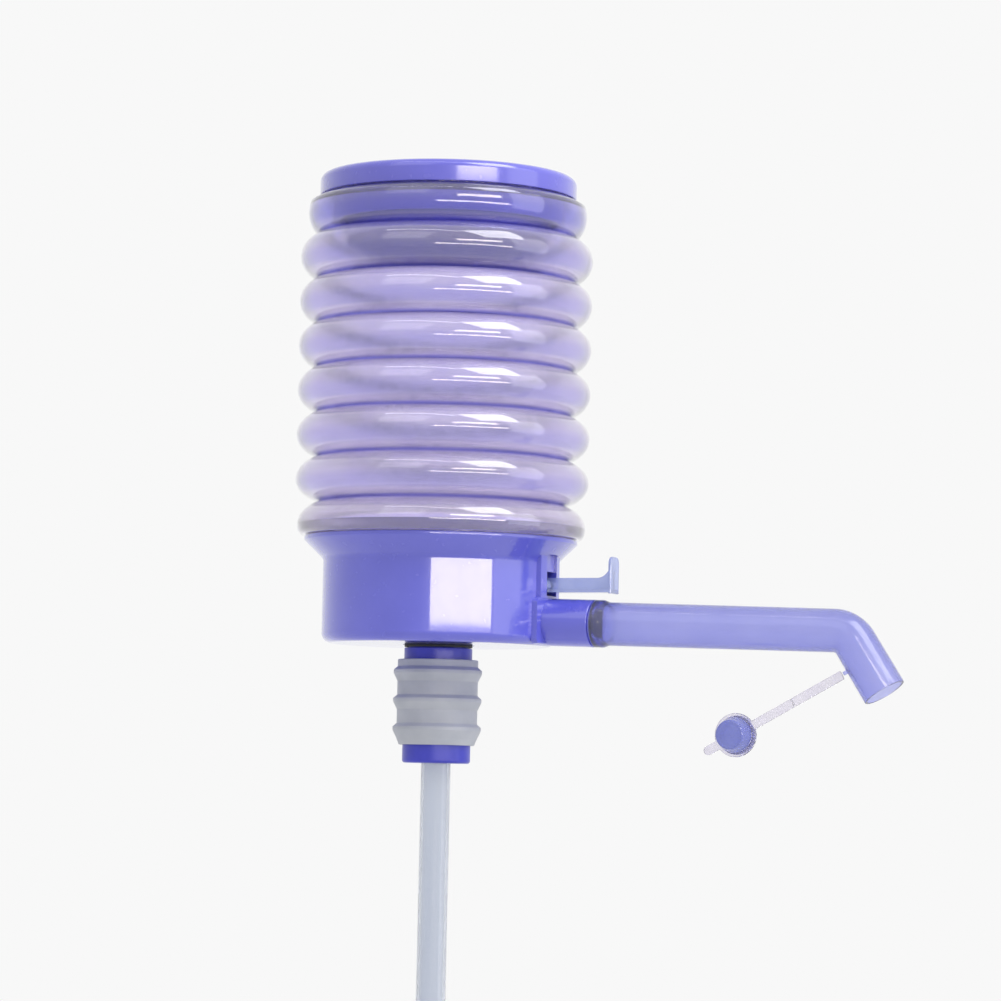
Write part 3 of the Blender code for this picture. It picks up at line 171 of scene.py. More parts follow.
def lofted(name, rings, sides, side=(0, 1, 0)):
    """A skin over rings of (centre, direction, radius), closed on itself unless its ends are points."""
    solid = bmesh.new()
    loops = []
    for centre, direction, radius in rings:
        if radius < 0.001:
            loops.append([solid.verts.new(centre)] * sides)
            continue
        across = Vector(side).cross(direction).normalized()
        upright = Vector(direction).normalized().cross(across)
        loop = []
        for step in range(sides):
            angle = math.tau * step / sides
            outward = across * math.cos(angle) + upright * math.sin(angle)
            loop.append(solid.verts.new(Vector(centre) + radius * outward))
        loops.append(loop)
    following = loops[1:] + loops[:1] if rings[0][2] >= 0.001 else loops[1:]
    for low, high in zip(loops, following):
        for step in range(sides):
            after = (step + 1) % sides
            corners = list(dict.fromkeys((low[step], low[after], high[after], high[step])))
            if len(corners) > 2:
                solid.faces.new(corners)
    return made(name, solid)


def turned(name, outline, sides=FINE):
    """An outline of (radius, height) points turned about the pump's axis."""
    return lofted(name, [((0, 0, height), (0, 0, 1), radius) for radius, height in outline], sides)


def arc(centre, radius, start, end, steps):
    """Points on an arc, with its angles in degrees."""
    turns = [math.radians(start + (end - start) * step / steps) for step in range(steps + 1)]
    return [(centre[0] + radius * math.cos(turn), centre[1] + radius * math.sin(turn)) for turn in turns]


def rounded(corners, steps=5):
    """A closed outline whose corners (x, y, radius) are rounded; a corner without a radius stays sharp."""
    points = []
    for index, corner in enumerate(corners):
        here = Vector(corner[:2])
        if len(corner) < 3:
            points.append(tuple(here))
            continue
        back = Vector(corners[index - 1][:2]) - here
        ahead = Vector(corners[(index + 1) % len(corners)][:2]) - here
        half = back.angle(ahead) / 2
        reach = min(corner[2] / math.tan(half), back.length / 2.02, ahead.length / 2.02)
        radius = reach * math.tan(half)
        back.normalize()
        ahead.normalize()
        centre = here + (back + ahead).normalized() * (radius / math.sin(half))
        start = here + back * reach - centre
        end = here + ahead * reach - centre
        for step in range(steps + 1):
            share = step / steps
            points.append(tuple(centre + (start * (1 - share) + end * share).normalized() * radius))
    return points


def slab(name, outline, low, high, place=None, edge=0):
    """A flat outline from height low to high, with its edges rounded if asked, put in place."""
    solid = bmesh.new()
    face = solid.faces.new([solid.verts.new((x, y, low)) for x, y in outline])
    raised = bmesh.ops.extrude_face_region(solid, geom=[face])
    lifted = [item for item in raised["geom"] if isinstance(item, bmesh.types.BMVert)]
    bmesh.ops.translate(solid, vec=(0, 0, high - low), verts=lifted)
    if edge:
        bmesh.ops.recalc_face_normals(solid, faces=solid.faces)
        turns = [item for item in solid.edges if item.calc_face_angle(0) > math.radians(50)]
        bmesh.ops.bevel(solid, geom=turns, offset=edge, segments=3, profile=0.5, affect="EDGES")
    if place:
        bmesh.ops.transform(solid, matrix=place, verts=solid.verts)
    return made(name, solid)


def box_outline(x_low, x_high, y_low, y_high, radius=0):
    corners = [(x_low, y_low), (x_high, y_low), (x_high, y_high), (x_low, y_high)]
    return rounded([(*corner, radius) for corner in corners]) if radius else corners


def peg(name, start, end, radius, sides=SMALL, edge=0):
    """A round peg from one point to another, with its rims rounded if asked."""
    start = Vector(start)
    end = Vector(end)
    run = (end - start).normalized()
    side = (0, 1, 0) if abs(run.y) < 0.9 else (0, 0, 1)
    rings = [(start, run, 0)]
    if edge:
        rims = arc((radius - edge, edge), edge, -90, 0, 3)
        rings += [(start + run * height, run, rim) for rim, height in rims]
        rings += [(end - run * height, run, rim) for rim, height in reversed(rims)]
    else:
        rings += [(start, run, radius), (end, run, radius)]
    return lofted(name, [*rings, (end, run, 0)], sides, side)


def worked(obj, operation, *tools):
    """Join tools to a piece or cut them out of it, and keep only the result."""
    for tool in tools:
        modifier = obj.modifiers.new(tool.name, "BOOLEAN")
        modifier.operation = operation
        modifier.solver = "EXACT"
        modifier.object = tool
    bpy.context.view_layer.update()
    graph = bpy.context.evaluated_depsgraph_get()
    mesh = bpy.data.meshes.new_from_object(obj.evaluated_get(graph))
    obj.modifiers.clear()
    obj.data = mesh
    for tool in tools:
        bpy.data.objects.remove(tool, do_unlink=True)
    return obj


def placed(obj, place):
    """Move a piece's mesh by a matrix in millimetres."""
    move = Matrix.Scale(MM, 4) @ place @ Matrix.Scale(1 / MM, 4)
    obj.data.transform(move)
    return obj


def fitted(obj, body, finish, *nodes, crease=32):
    """Give a piece its finish, and let it ride with its body in the place of its CAD nodes."""
    mesh = obj.data
    mesh.materials.clear()
    mesh.materials.append(finish)
    mesh.shade_smooth()
    mesh.set_sharp_from_angle(angle=math.radians(crease))
    even = obj.modifiers.new("even_shading", "WEIGHTED_NORMAL")
    even.keep_sharp = True
    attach(obj, body)
    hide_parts(*nodes)
    return obj


# Finishes


def moulded(
    name, colour, deeper, cloud, gloss, scuffed, grain, relief, shader, stretch=1, tint=None, painted_shade_colour=None
):
    """A moulded plastic or rubber: clouds of a deeper colour, uneven gloss and a faint relief, sized in mm.

    The tint is what a millimetre of a clear one leaves of white light.
    The last argument is the colour of painted shade, mixed in where the mesh's painted-shade attribute asks.
    """
    finish = bpy.data.materials.new(name)
    finish.use_nodes = True
    tree = finish.node_tree
    tree.nodes.clear()
    place = add(tree, "ShaderNodeTexCoord")
    drawn = add(
        tree, "ShaderNodeMapping", {"Scale": (1, 1, 1 / stretch)}, {"Vector": place.outputs["Object"]}
    ).outputs["Vector"]
    clouds = add(tree, "ShaderNodeTexNoise", {"Scale": 1 / (cloud * MM), "Detail": 3}, {"Vector": drawn})
    spread = add(
        tree, "ShaderNodeMapRange", {"From Min": 0.3, "From Max": 0.7}, {"Value": clouds.outputs["Fac"]}
    )
    mottled = add(
        tree,
        "ShaderNodeMixRGB",
        {"Color1": linear(colour), "Color2": linear(deeper)},
        {"Fac": spread.outputs["Result"]},
    )
    # Painted shade: a deeper colour mixed in by the mesh's painted-shade attribute.
    if painted_shade_colour:
        painted_shade_mask = add(tree, "ShaderNodeAttribute", {"attribute_name": "painted_shade"})
        mottled = add(
            tree,
            "ShaderNodeMixRGB",
            {"Color2": linear(painted_shade_colour)},
            {"Fac": painted_shade_mask.outputs["Fac"], "Color1": mottled.outputs["Color"]},
        )
    fine = add(tree, "ShaderNodeTexNoise", {"Scale": 1 / (grain * MM), "Detail": 4}, {"Vector": drawn})
    wear = add(
        tree,
        "ShaderNodeMapRange",
        {"From Min": 0.35, "From Max": 0.7, "To Min": gloss, "To Max": scuffed},
        {"Value": fine.outputs["Fac"]},
    )
    skin = add(
        tree, "ShaderNodeBump", {"Strength": 1, "Distance": relief * MM}, {"Height": clouds.outputs["Fac"]}
    )
    surface = add(
        tree,
        "ShaderNodeBsdfPrincipled",
        shader,
        {
            "Base Color": mottled.outputs["Color"],
            "Roughness": wear.outputs["Result"],
            "Normal": skin.outputs["Normal"],
        },
    )
    output = add(tree, "ShaderNodeOutputMaterial", None, {"Surface": surface.outputs["BSDF"]})
    if tint:
        lost = [-math.log(share) / MM for share in linear(tint)[:3]]
        left = [1 - part / max(lost) for part in lost]
        depth = add(tree, "ShaderNodeVolumeAbsorption", {"Color": (*left, 1), "Density": max(lost)})
        tree.links.new(depth.outputs["Volume"], output.inputs["Volume"])
    return finish


# Injection-moulded polypropylene: hard, glossy and coloured through, a little clear.
HOUSING_PLASTIC = moulded(
    "moulded_violet_polypropylene", "#6365d6", "#5a5ccc", 22, 0.2, 0.28, 2.5, 0.02,
    {"IOR": 1.49, "Coat Weight": 1, "Coat Roughness": 0.04, "Coat IOR": 1.49},
)
# The same polypropylene with a polished top.
CAP_PLASTIC = moulded(
    "polished_violet_polypropylene", "#6664cf", "#5c5ac8", 18, 0.2, 0.28, 2.5, 0.02,
    {"IOR": 1.49, "Coat Weight": 1, "Coat Roughness": 0.12, "Coat IOR": 1.49},
)
# Blow-moulded low-density polyethylene: a thin clear wall, glossy outside, with painted shade in a deeper
# blue at the grooves, on the lower half of each ring and near the cap.
BELLOWS_PLASTIC = moulded(
    "blown_lilac_polyethylene", "#f7f1ff", "#efe7fe", 9, 0.09, 0.15, 3, 0.05,
    {"IOR": 1.5, "Transmission Weight": 0.9, "Coat Weight": 0.8, "Coat Roughness": 0.05, "Coat IOR": 1.5},
    painted_shade_colour="#a8a6f8",
)
# Polypropylene from a satin mould: clear, and deeper towards the tube's edges, where more is in the way.
SPOUT_PLASTIC = moulded(
    "satin_violet_polypropylene", "#f0f0fd", "#e6e7fb", 16, 0.14, 0.2, 1.5, 0.02,
    {"IOR": 1.49, "Transmission Weight": 0.92}, tint="#d4d7fa",
)
# Thin polypropylene ribs, pale because there is little of it to colour the light.
LEVER_PLASTIC = moulded(
    "moulded_pale_blue_polypropylene", "#bdc9f5", "#b0bdf1", 6, 0.16, 0.24, 1.5, 0.01,
    {"IOR": 1.49, "Transmission Weight": 0.6, "Coat Weight": 1, "Coat Roughness": 0.05, "Coat IOR": 1.49},
)
# Soft natural polyethylene, nearly colourless and waxy, so that it can bend at the fold.
STRAP_PLASTIC = moulded(
    "waxy_clear_polyethylene", "#f4f1fa", "#ece8f5", 5, 0.2, 0.3, 1.2, 0.01,
    {"IOR": 1.51, "Transmission Weight": 0.85},
)
# Glossy moulded stopper, in the housing's colour.
PLUG_PLASTIC = moulded(
    "glossy_violet_polyethylene", "#8f97e2", "#838bdc", 5, 0.14, 0.2, 1.2, 0.01,
    {"IOR": 1.51, "Transmission Weight": 0.3},
)
# Dark blue polypropylene of the part that goes into the jug.
STEM_PLASTIC = moulded(
    "satin_dark_blue_polypropylene", "#3f43c4", "#3437ac", 10, 0.28, 0.36, 1.5, 0.02,
    {"IOR": 1.49},
)
# Cast silicone: soft, grey and milky, with a dull skin.
SLEEVE_SILICONE = moulded(
    "translucent_grey_silicone", "#d3d6de", "#c4c8d2", 8, 0.42, 0.55, 0.8, 0.02,
    {"IOR": 1.41, "Transmission Weight": 0.3},
)
# Pressed silicone discs of the valves.
VALVE_SILICONE = moulded(
    "pressed_milky_silicone", "#dcdce4", "#cfcfd9", 6, 0.45, 0.58, 0.8, 0.02, {"IOR": 1.41}
)
# Nitrile rubber of the seals, black and dull, with a fine bloom.
SEAL_RUBBER = moulded(
    "moulded_nitrile_rubber", "#1d1d20", "#28282c", 3, 0.5, 0.65, 0.5, 0.01, {"IOR": 1.52}
)
# Plain natural polypropylene of the inner pieces, a bluish white without polish.
INNER_PLASTIC = moulded(
    "natural_polypropylene", "#c9cbe4", "#bdbfdc", 8, 0.3, 0.4, 1.5, 0.02,
    {"IOR": 1.49, "Transmission Weight": 0.15},
)
# The valve deck, natural polypropylene with a touch of the violet.
DECK_PLASTIC = moulded(
    "natural_lilac_polypropylene", "#cfcbe6", "#c3bfde", 10, 0.3, 0.4, 1.5, 0.02, {"IOR": 1.49}
)
# Extruded tube, clear and glossy, with faint draw lines along it.
TUBE_PLASTIC = moulded(
    "extruded_clear_polypropylene", "#e9edf5", "#dfe4ef", 2.5, 0.1, 0.18, 1, 0.01,
    {"IOR": 1.49, "Transmission Weight": 0.8}, 30,
)
# Glossy polypropylene of the couplings and the strainer.
COUPLING_PLASTIC = moulded(
    "glossy_violet_polypropylene", "#7477d8", "#6a6ccf", 8, 0.14, 0.2, 1.5, 0.01,
    {"IOR": 1.49, "Transmission Weight": 0.12},
)
# Drawn stainless wire, bright, with fine lines along its length.
SPRING_STEEL = moulded(
    "drawn_stainless_steel", "#c9c9cc", "#b9b9bd", 1, 0.18, 0.3, 0.3, 0.002, {"Metallic": 1}
)


# Housing


def upright(turn=0):
    """Stands a flat outline up: its x runs outwards, its y up and its thickness across."""
    return Matrix.Rotation(turn, 4, "Z") @ Matrix.Rotation(math.pi / 2, 4, "X")


SPOUT_FRAME = Matrix.Translation((0, 0, SPOUT_RISE)) @ Matrix.Rotation(SPOUT_DROOP, 4, "Y")


def curved_pad(name, width, bottom, top, proud, corner, edge):
    """A raised pad whose face follows the wall."""
    facing = Matrix(((0, 0, 1), (1, 0, 0), (0, 1, 0))).to_4x4()
    outline = box_outline(-width / 2, width / 2, bottom, top, corner)
    pad = slab(name, outline, WALL_INNER + 1, WALL_RADIUS + 6, facing)
    face = WALL_RADIUS + proud
    rims = [(0, bottom - 2), (face - edge, bottom - 2), (face - edge, bottom)]
    rims += arc((face - edge, bottom + edge), edge, -90, 0, 4)
    rims += arc((face - edge, top - edge), edge, 0, 90, 4)
    skin = turned(name + "_skin", [*rims, (face - edge, top + 2), (0, top + 2)])
    return worked(pad, "INTERSECT", skin)


def make_housing():
    flare_low = HOUSING_TOP - 7
    shell = turned("housing_moulding", rounded([
        (FLARE_RADIUS, HOUSING_TOP, 0.35),
        (FLARE_RADIUS, HOUSING_TOP - 1.2, 0.8),
        (WALL_RADIUS, flare_low, 2),
        (WALL_RADIUS, 0, 2.9),
        (11, 0, 0.2),
        (11, 0.4),
        (9.5, 0.4),
        (9.5, FLOOR, 0.2),
        (WALL_INNER, FLOOR, 1),
        (WALL_INNER, LEDGE - 1.6, 0.4),
        (WALL_INNER - 2.2, LEDGE - 1.6, 0.2),
        (WALL_INNER - 2.2, LEDGE, 0.2),
        (POCKET_RADIUS, LEDGE),
        (POCKET_RADIUS, HOUSING_TOP - 2.4),
        (FLARE_RADIUS - 3.5, HOUSING_TOP - 2.4),
        (FLARE_RADIUS - 3.5, HOUSING_TOP, 0.3),
    ]))
    saddle_top = SPOUT_RISE - SPOUT_DROOP * WALL_RADIUS + 7.2
    saddle = curved_pad("saddle", 18, 0.3, saddle_top, 1.7, 1.6, 0.5)
    pad = curved_pad("lever_pad", 14, saddle_top - 1, HOUSING_TOP - 4.6, 1.5, 0.7, 0.4)
    along = (1, 0, 0)
    root = (WALL_INNER + 0.6, 0, 0)
    rim = arc((SOCKET_RADIUS - 0.4, SOCKET_END - 0.4), 0.4, 0, 90, 4)
    socket = lofted("socket", [
        (root, along, 0),
        (root, along, SOCKET_RADIUS),
        *[((height, 0, 0), along, radius) for radius, height in rim],
        ((SOCKET_END, 0, 0), along, 0),
    ], ROUND)
    placed(socket, SPOUT_FRAME)
    bore = peg("socket_bore", (WALL_INNER - 2.2, 0, 0), (SOCKET_END + 1, 0, 0), SOCKET_BORE, ROUND)
    placed(bore, SPOUT_FRAME)
    slot_low = PIN[1] - 3.2
    slot_high = slot_low + 7.4
    face = WALL_RADIUS + 1.5
    half = SLOT_WIDTH / 2
    slot_outline = box_outline(WALL_INNER - 1, face + 2, slot_low, slot_high)
    groove_outline = box_outline(face - 1.1, face + 2, slot_high - 1, slot_high + 5.1)
    slot = slab("lever_slot", slot_outline, -half, half, upright())
    groove = slab("slot_groove", groove_outline, -half, half, upright())
    pin_hole = peg("pin_hole", (PIN[0], -6.5, PIN[1]), (PIN[0], 6.5, PIN[1]), PIN_HOLE)
    worked(shell, "UNION", saddle, pad, socket)
    worked(shell, "DIFFERENCE", bore, slot, groove, pin_hole)
    fitted(shell, "base", HOUSING_PLASTIC, "base_housing")


# Bellows


def crest_point(index, angle, inset):
    """A point on one ring of the bellows, from -90 degrees at its lower groove to 90 at its upper one."""
    turn = math.radians(angle)
    crest = {0: LOW_CREST_RADIUS, CREST_COUNT - 1: TOP_CREST_RADIUS}.get(index, CREST_RADIUS)
    groove = GROOVE_RADII[index] if angle < 0 else GROOVE_RADII[index + 1]
    height = FIRST_CREST + index * CREST_PITCH + CREST_PITCH / 2 * math.sin(turn)
    return (groove - inset + (crest - groove) * max(math.cos(turn), 0) ** 1.24, height)


# Painted shade up one ring, from its lower groove to its upper one: deepest at the grooves, and deeper on
# the lower half than on the upper.
PAINTED_SHADE_STEPS = (
    (0, 1), (0.02, 0.9), (0.05, 0.1), (0.14, 0.05), (0.22, 0.5),
    (0.42, 0.45), (0.6, 0.1), (0.93, 0.1), (0.98, 0.6), (1, 1),
)


def painted_shade(height):
    """How much painted shade a height gets, by the ring it is in: a fifth of it near the foot, and more
    towards the cap.
    """
    share = ((height - FIRST_CREST) / CREST_PITCH + 0.5) % 1
    heights, shade_levels = zip(*PAINTED_SHADE_STEPS)
    depth = float(numpy.interp(share, heights, shade_levels))
    if height < FIRST_CREST + 4:
        return 0.2 * depth
    return min(1, depth + float(numpy.interp(height, (121, 126), (0, 0.4))))


def make_bellows():
    foot_top = HOUSING_TOP + SEAT_GAP
    neck_low = CAP_BOTTOM - SEAT_GAP
    crests = range(CREST_COUNT)
    outer = [crest_point(index, turn, 0) for index in crests for turn in range(-90, 90, 9)]
    inner = [crest_point(index, turn, BELLOWS_WALL) for index in crests for turn in range(-90, 90, 15)]
    outer = [point for point in outer if foot_top + 1 < point[1] < neck_low - 1]
    inner = [point for point in inner if foot_top + 2 < point[1] < neck_low - 2]
    outline = [
        (36.6, neck_low + NECK_HEIGHT),
        (37.8, neck_low + NECK_HEIGHT),
        (37.8, neck_low),
        (CAP_RADIUS - 0.3, neck_low),
        *reversed(outer),
        (FLARE_RADIUS + 1.2, foot_top + 0.2),
        (FLARE_RADIUS + 0.6, foot_top),
        (FLARE_RADIUS - 3.8, foot_top),
        (FLARE_RADIUS - 3.8, foot_top - 2.4),
        (POCKET_RADIUS, foot_top - 2.4),
        (POCKET_RADIUS, foot_top + BELLOWS_WALL),
        (FLARE_RADIUS - 2.3, foot_top + BELLOWS_WALL),
        *inner,
        (36.6, neck_low - BELLOWS_WALL),
    ]
    bellows = turned("bellows_blown", outline)
    # Painted shade stored on the mesh: deeper in the grooves, on the lower half of each ring and near the
    # cap.
    depth = bellows.data.attributes.new("painted_shade", "FLOAT", "POINT")
    for vertex, mark in zip(bellows.data.vertices, depth.data):
        mark.value = painted_shade(vertex.co.z / MM)
    fitted(bellows, "base", BELLOWS_PLASTIC, "bellows", crease=50)
    bellows.modifiers.clear()
    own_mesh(bellows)


# Press cap and valves


def air_holes(name, low, high):
    """The holes that the valve's disc covers, round the hole for its stem."""
    holes = [peg(name + "_stem_hole", (0, 0, low), (0, 0, high), 2.1)]
    for index in range(6):
        angle = math.tau * (index + 1 / 4) / 6
        x = 6.2 * math.cos(angle)
        y = 6.2 * math.sin(angle)
        holes.append(peg(f"{name}_air_{index}", (x, y, low), (x, y, high), 1.3))
    return holes


def make_cap():
    slope = math.sin(CAP_SLOPE)
    edge = CAP_RADIUS - CAP_ROUND * (1 - slope)
    ball = edge / slope
    centre = CAP_BOTTOM + CAP_RIM + (CAP_ROUND - ball) * math.cos(CAP_SLOPE)

    def dome(radius, inset=0):
        return centre + math.sqrt(ball**2 - radius**2) - inset

    recess = dome(9.5) - 2.4
    seat = recess - 1.5
    skirt = CAP_RADIUS - 6.6
    low = CAP_BOTTOM - 13.4
    lip = CAP_BOTTOM - 8
    channel = CAP_BOTTOM + NECK_HEIGHT
    under = channel + CAP_ROUND / 2
    tread = [9.9 + (edge - 9.9) * step / 14 for step in range(14)]
    outline = [
        (0, recess),
        *arc((9.1, recess + 0.4), 0.4, -90, 0, 3),
        *arc((9.9, dome(9.9) - 0.4), 0.4, 180, 95, 3),
        *[(radius, dome(radius)) for radius in tread[1:]],
        *arc((CAP_RADIUS - CAP_ROUND, CAP_BOTTOM + CAP_RIM), CAP_ROUND, 84, 0, 10),
        *arc((CAP_RADIUS - 0.3, CAP_BOTTOM + 0.3), 0.3, 0, -90, 3),
        (CAP_RADIUS - 1.4, CAP_BOTTOM),
        (CAP_RADIUS - 1.4, channel),
        (36.3, channel),
        *arc((36, lip + 0.3), 0.3, 0, -90, 3),
        *arc((35.2, lip + 0.3), 0.3, -90, -180, 3),
        (34.9, under),
        (skirt, under),
        *arc((skirt - 0.3, low + 0.3), 0.3, 0, -90, 3),
        *arc((skirt - 1.2, low + 0.3), 0.3, -90, -180, 3),
        *[(radius, dome(radius, 2)) for radius in (skirt - 1.5, 24, 18, 11.5)],
        (11.5, seat),
        (0, seat),
    ]
    cap = turned("cap_moulding", outline)
    worked(cap, "DIFFERENCE", *air_holes("cap", seat - 1, recess + 1))
    fitted(cap, "cap", CAP_PLASTIC, "press_cap")
    make_valve("intake_disc", "cap", seat, recess, "intake", "intake_valve")


def make_valve(name, holder, seat, plate, body, node):
    """A silicone disc under its seat, with the bulb that holds it."""
    top = seat - SEAT_GAP
    bulb = plate + 1.15
    outline = [
        (0, bulb + 1.4),
        *arc((1.3, bulb + 0.7), 0.7, 90, 20, 4),
        (2.6, bulb + 0.3),
        (2.6, bulb),
        (1.8, bulb),
        (1.8, top),
        *arc((9.7, top - 0.3), 0.3, 90, -40, 4),
        (3.6, top - 1.2),
        (0, top - 1.2),
    ]
    fitted(turned(name, outline, ROUND), body, VALVE_SILICONE, node)


def make_deck():
    low = LEDGE + 1.6
    top = low + 2.2
    rim = POCKET_RADIUS - SEAT_GAP
    outline = [
        (0, top),
        *arc((rim - 2.4, top + 0.5), 0.5, -90, 0, 3),
        (rim - 1.9, top + 3.5),
        (rim, top + 3.5),
        (rim, low),
        (0, low),
    ]
    deck = turned("deck_moulding", outline, FINE)
    worked(deck, "DIFFERENCE", *air_holes("deck", low - 1, top + 1))
    fitted(deck, "base", DECK_PLASTIC, "valve_deck")
    gasket = [(rim - 0.3, low - 0.3), (rim - 0.3, low - 1.3), (rim - 2.5, low - 1.3), (rim - 2.5, low - 0.3)]
    seal = turned("deck_seal", rounded([(*point, 0.25) for point in gasket], 2))
    fitted(seal, "base", SEAL_RUBBER, "deck_gasket")
    make_valve("delivery_disc", "base", low, top, "delivery", "delivery_valve")


# Water elbow, spout and O-rings


def run_along(points):
    """The direction of travel at each point of a route."""
    ways = [(after - before).normalized() for before, after in zip(points, points[1:])]
    return [ways[0], *[(a + b).normalized() for a, b in zip(ways, ways[1:])], ways[-1]]


def make_elbow():
    ahead = Vector((math.cos(SPOUT_DROOP), 0, -math.sin(SPOUT_DROOP)))
    corner = Vector((0, 0, SPOUT_RISE))
    turn = math.pi / 2 + SPOUT_DROOP
    centre = Vector((ELBOW_BEND, 0, SPOUT_RISE - ELBOW_BEND * math.tan(turn / 2)))
    bend = []
    for step in range(15):
        angle = math.pi - turn * step / 14
        bend.append(centre + ELBOW_BEND * Vector((math.cos(angle), 0, math.sin(angle))))
    end = corner + ahead * ELBOW_END
    low = SPOUT_RISE - ELBOW_DROP
    stop = low + TUBE_SOCKET
    way_up = Vector((0, 0, 1))
    curve = list(zip(bend, run_along(bend)))
    cup = ((low, 5.9), (stop + 1, 5.9), (stop + 1.5, ELBOW_RADIUS))
    outer = [(way_up * height, way_up, radius) for height, radius in cup]
    outer += [(point, way, ELBOW_RADIUS) for point, way in curve]
    lands = ((4.7, ELBOW_RADIUS), (4.6, 5.6), (2.9, 5.6), (2.8, 4.65), (1.8, 4.65), (1.7, 5.6), (0, 5.6))
    outer += [(end - ahead * gap, ahead, radius) for gap, radius in lands]
    inner = [(end, ahead, ELBOW_BORE)]
    inner += [(point, way, ELBOW_BORE) for point, way in reversed(curve)]
    seat = ((stop, ELBOW_BORE), (stop, TUBE_FIT), (low, TUBE_FIT))
    inner += [(way_up * height, way_up, radius) for height, radius in seat]
    fitted(lofted("elbow_moulding", outer + inner, SMALL), "base", INNER_PLASTIC, "water_elbow")


def make_seal(name, along, body, node):
    """An O-ring round the spout's axis."""
    rings = []
    for radius, height in arc((5.25, along), 0.45, 0, 360, 16)[:-1]:
        rings.append(((height, 0, 0), (1, 0, 0), radius))
    fitted(placed(lofted(name, rings, ROUND), SPOUT_FRAME), body, SEAL_RUBBER, node, crease=80)


def tip_way():
    return Vector((math.cos(SPOUT_TURN), 0, -math.sin(SPOUT_TURN)))


def strap_way():
    return Vector((-math.cos(STRAP_ANGLE), 0, -math.sin(STRAP_ANGLE)))


def strap_root():
    """The point that the strap swings about, in the spout's frame."""
    inward = Vector((-math.sin(SPOUT_TURN), 0, -math.cos(SPOUT_TURN)))
    foot = Vector((SPOUT_CORNER, 0, 0)) + STRAP_ROOT_DROP * tip_way() + TIP_RADIUS * inward
    return foot + 1.5 * strap_way()


def make_spout():
    along = Vector((1, 0, 0))
    back = SPOUT_BEND * math.tan(SPOUT_TURN / 2)
    straight = SPOUT_CORNER - back
    tip = Vector((SPOUT_CORNER, 0, 0)) + TIP_LENGTH * tip_way()
    bend = []
    for step in range(19):
        angle = SPOUT_TURN * step / 18
        point = Vector((straight + SPOUT_BEND * math.sin(angle), 0, SPOUT_BEND * (math.cos(angle) - 1)))
        bend.append((point, Vector((math.cos(angle), 0, -math.sin(angle)))))
    start = ELBOW_END + SEAT_GAP
    collar = SOCKET_END + SEAT_GAP
    outer = [(start, 5.3), (start + 0.3, 5.6), (SEAL_GROOVE - 0.05, 5.6), (SEAL_GROOVE, 4.65)]
    outer += [(SEAL_GROOVE + 1, 4.65), (SEAL_GROOVE + 1.05, 5.6), (collar, 5.6)]
    outer += [(collar, 6.9), (collar + 0.15, 7.15), (collar + 2.5, 7.15), (collar + 3, 7.05)]
    outer += [(collar + 4.1, 6.62), (collar + 4.8, 6.55), (70, 6.52), (90, 6.48), (110, 6.44)]
    rings = [(along * place, along, radius) for place, radius in outer]
    rings += [(point, way, 6.4) for point, way in bend]
    mouth = [(2, TIP_RADIUS), (0.3, TIP_RADIUS), (0.08, 6.42), (0, 6.2), (0, 5.9), (0.1, 5.72)]
    mouth += [(0.4, TIP_RADIUS - SPOUT_WALL), (3, TIP_RADIUS - SPOUT_WALL)]
    rings += [(tip - tip_way() * gap, tip_way(), radius) for gap, radius in mouth]
    rings += [(point, way, 5.6) for point, way in reversed(bend)]
    inner = [(90, 5.68), (collar + 3, 5.72), (collar + 1, 5.4), (collar - 1.5, 3.9), (start, 3.9)]
    rings += [(along * place, along, radius) for place, radius in inner]
    spout = lofted("spout_moulding", rings, 96)
    lug_end = strap_root() - 0.225 * strap_way()
    lug = peg("strap_lug", lug_end - 2.0 * strap_way(), lug_end, 0.6, 16, 0.1)
    worked(spout, "UNION", lug)
    fitted(placed(spout, SPOUT_FRAME), "spout", SPOUT_PLASTIC, "spout_tube", crease=40)


# Strap and dust plug


def strap_frame():
    """Along the strap, across it, and out on the side that the plug stands on."""
    side = Vector((0, -1, 0))
    way = strap_way()
    turn = Matrix((way, side.cross(way), side)).transposed().to_4x4()
    return SPOUT_FRAME @ Matrix.Translation(strap_root()) @ turn


def make_strap():
    place = strap_frame()
    half = STRAP_WIDTH / 2
    inner_outline = box_outline(0.45, STRAP_INNER - 0.15, -half, half, 0.4)
    inner = slab("strap_inner_half", inner_outline, -STRAP_THICKNESS, 0, place, 0.2)
    fitted(inner, "strap", STRAP_PLASTIC, "plug_strap_inner")
    fold = place @ Matrix.Translation((STRAP_INNER, 0, 0))
    bar_outline = box_outline(0.15, STRAP_OUTER - 4, -half, half)
    bar = slab("strap_outer_half", bar_outline, -STRAP_THICKNESS, 0, fold, 0.2)
    seat = fold @ Matrix.Translation((STRAP_OUTER, 0, 0))
    ring = placed(turned("plug_ring", rounded([
        (6.5, 0, 0.3), (6.5, -STRAP_THICKNESS, 0.3), (5, -STRAP_THICKNESS, 0.1), (5, 0, 0.1)
    ], 3), ROUND), seat)
    tail_outline = box_outline(5.6, 11.1, -half, half, half - 0.05)
    tail_outline = [point for point in tail_outline if point[0] > 8] + [(5.6, half), (5.6, -half)]
    tail = slab("plug_tail", tail_outline, -STRAP_THICKNESS + 0.1, -0.1, seat, 0.15)
    worked(bar, "UNION", ring, tail)
    fitted(bar, "plug", STRAP_PLASTIC, "plug_strap_outer")
    back = -STRAP_THICKNESS - SEAT_GAP
    outline = rounded([
        (0, 5.1),
        (4.3, 5.1, 0.6),
        (5.3, 0.3, 0.2),
        (4.7, 0.3),
        (4.7, back),
        (5.8, back, 0.2),
        (5.8, back - 0.6, 0.25),
        (3.7, back - 0.6, 0.2),
        (3.3, 4.1, 0.4),
        (0, 4.1),
    ])
    fitted(placed(turned("plug_moulding", outline, ROUND), seat), "plug", PLUG_PLASTIC, "dust_plug")


# Release lever, vent chamber and release valve


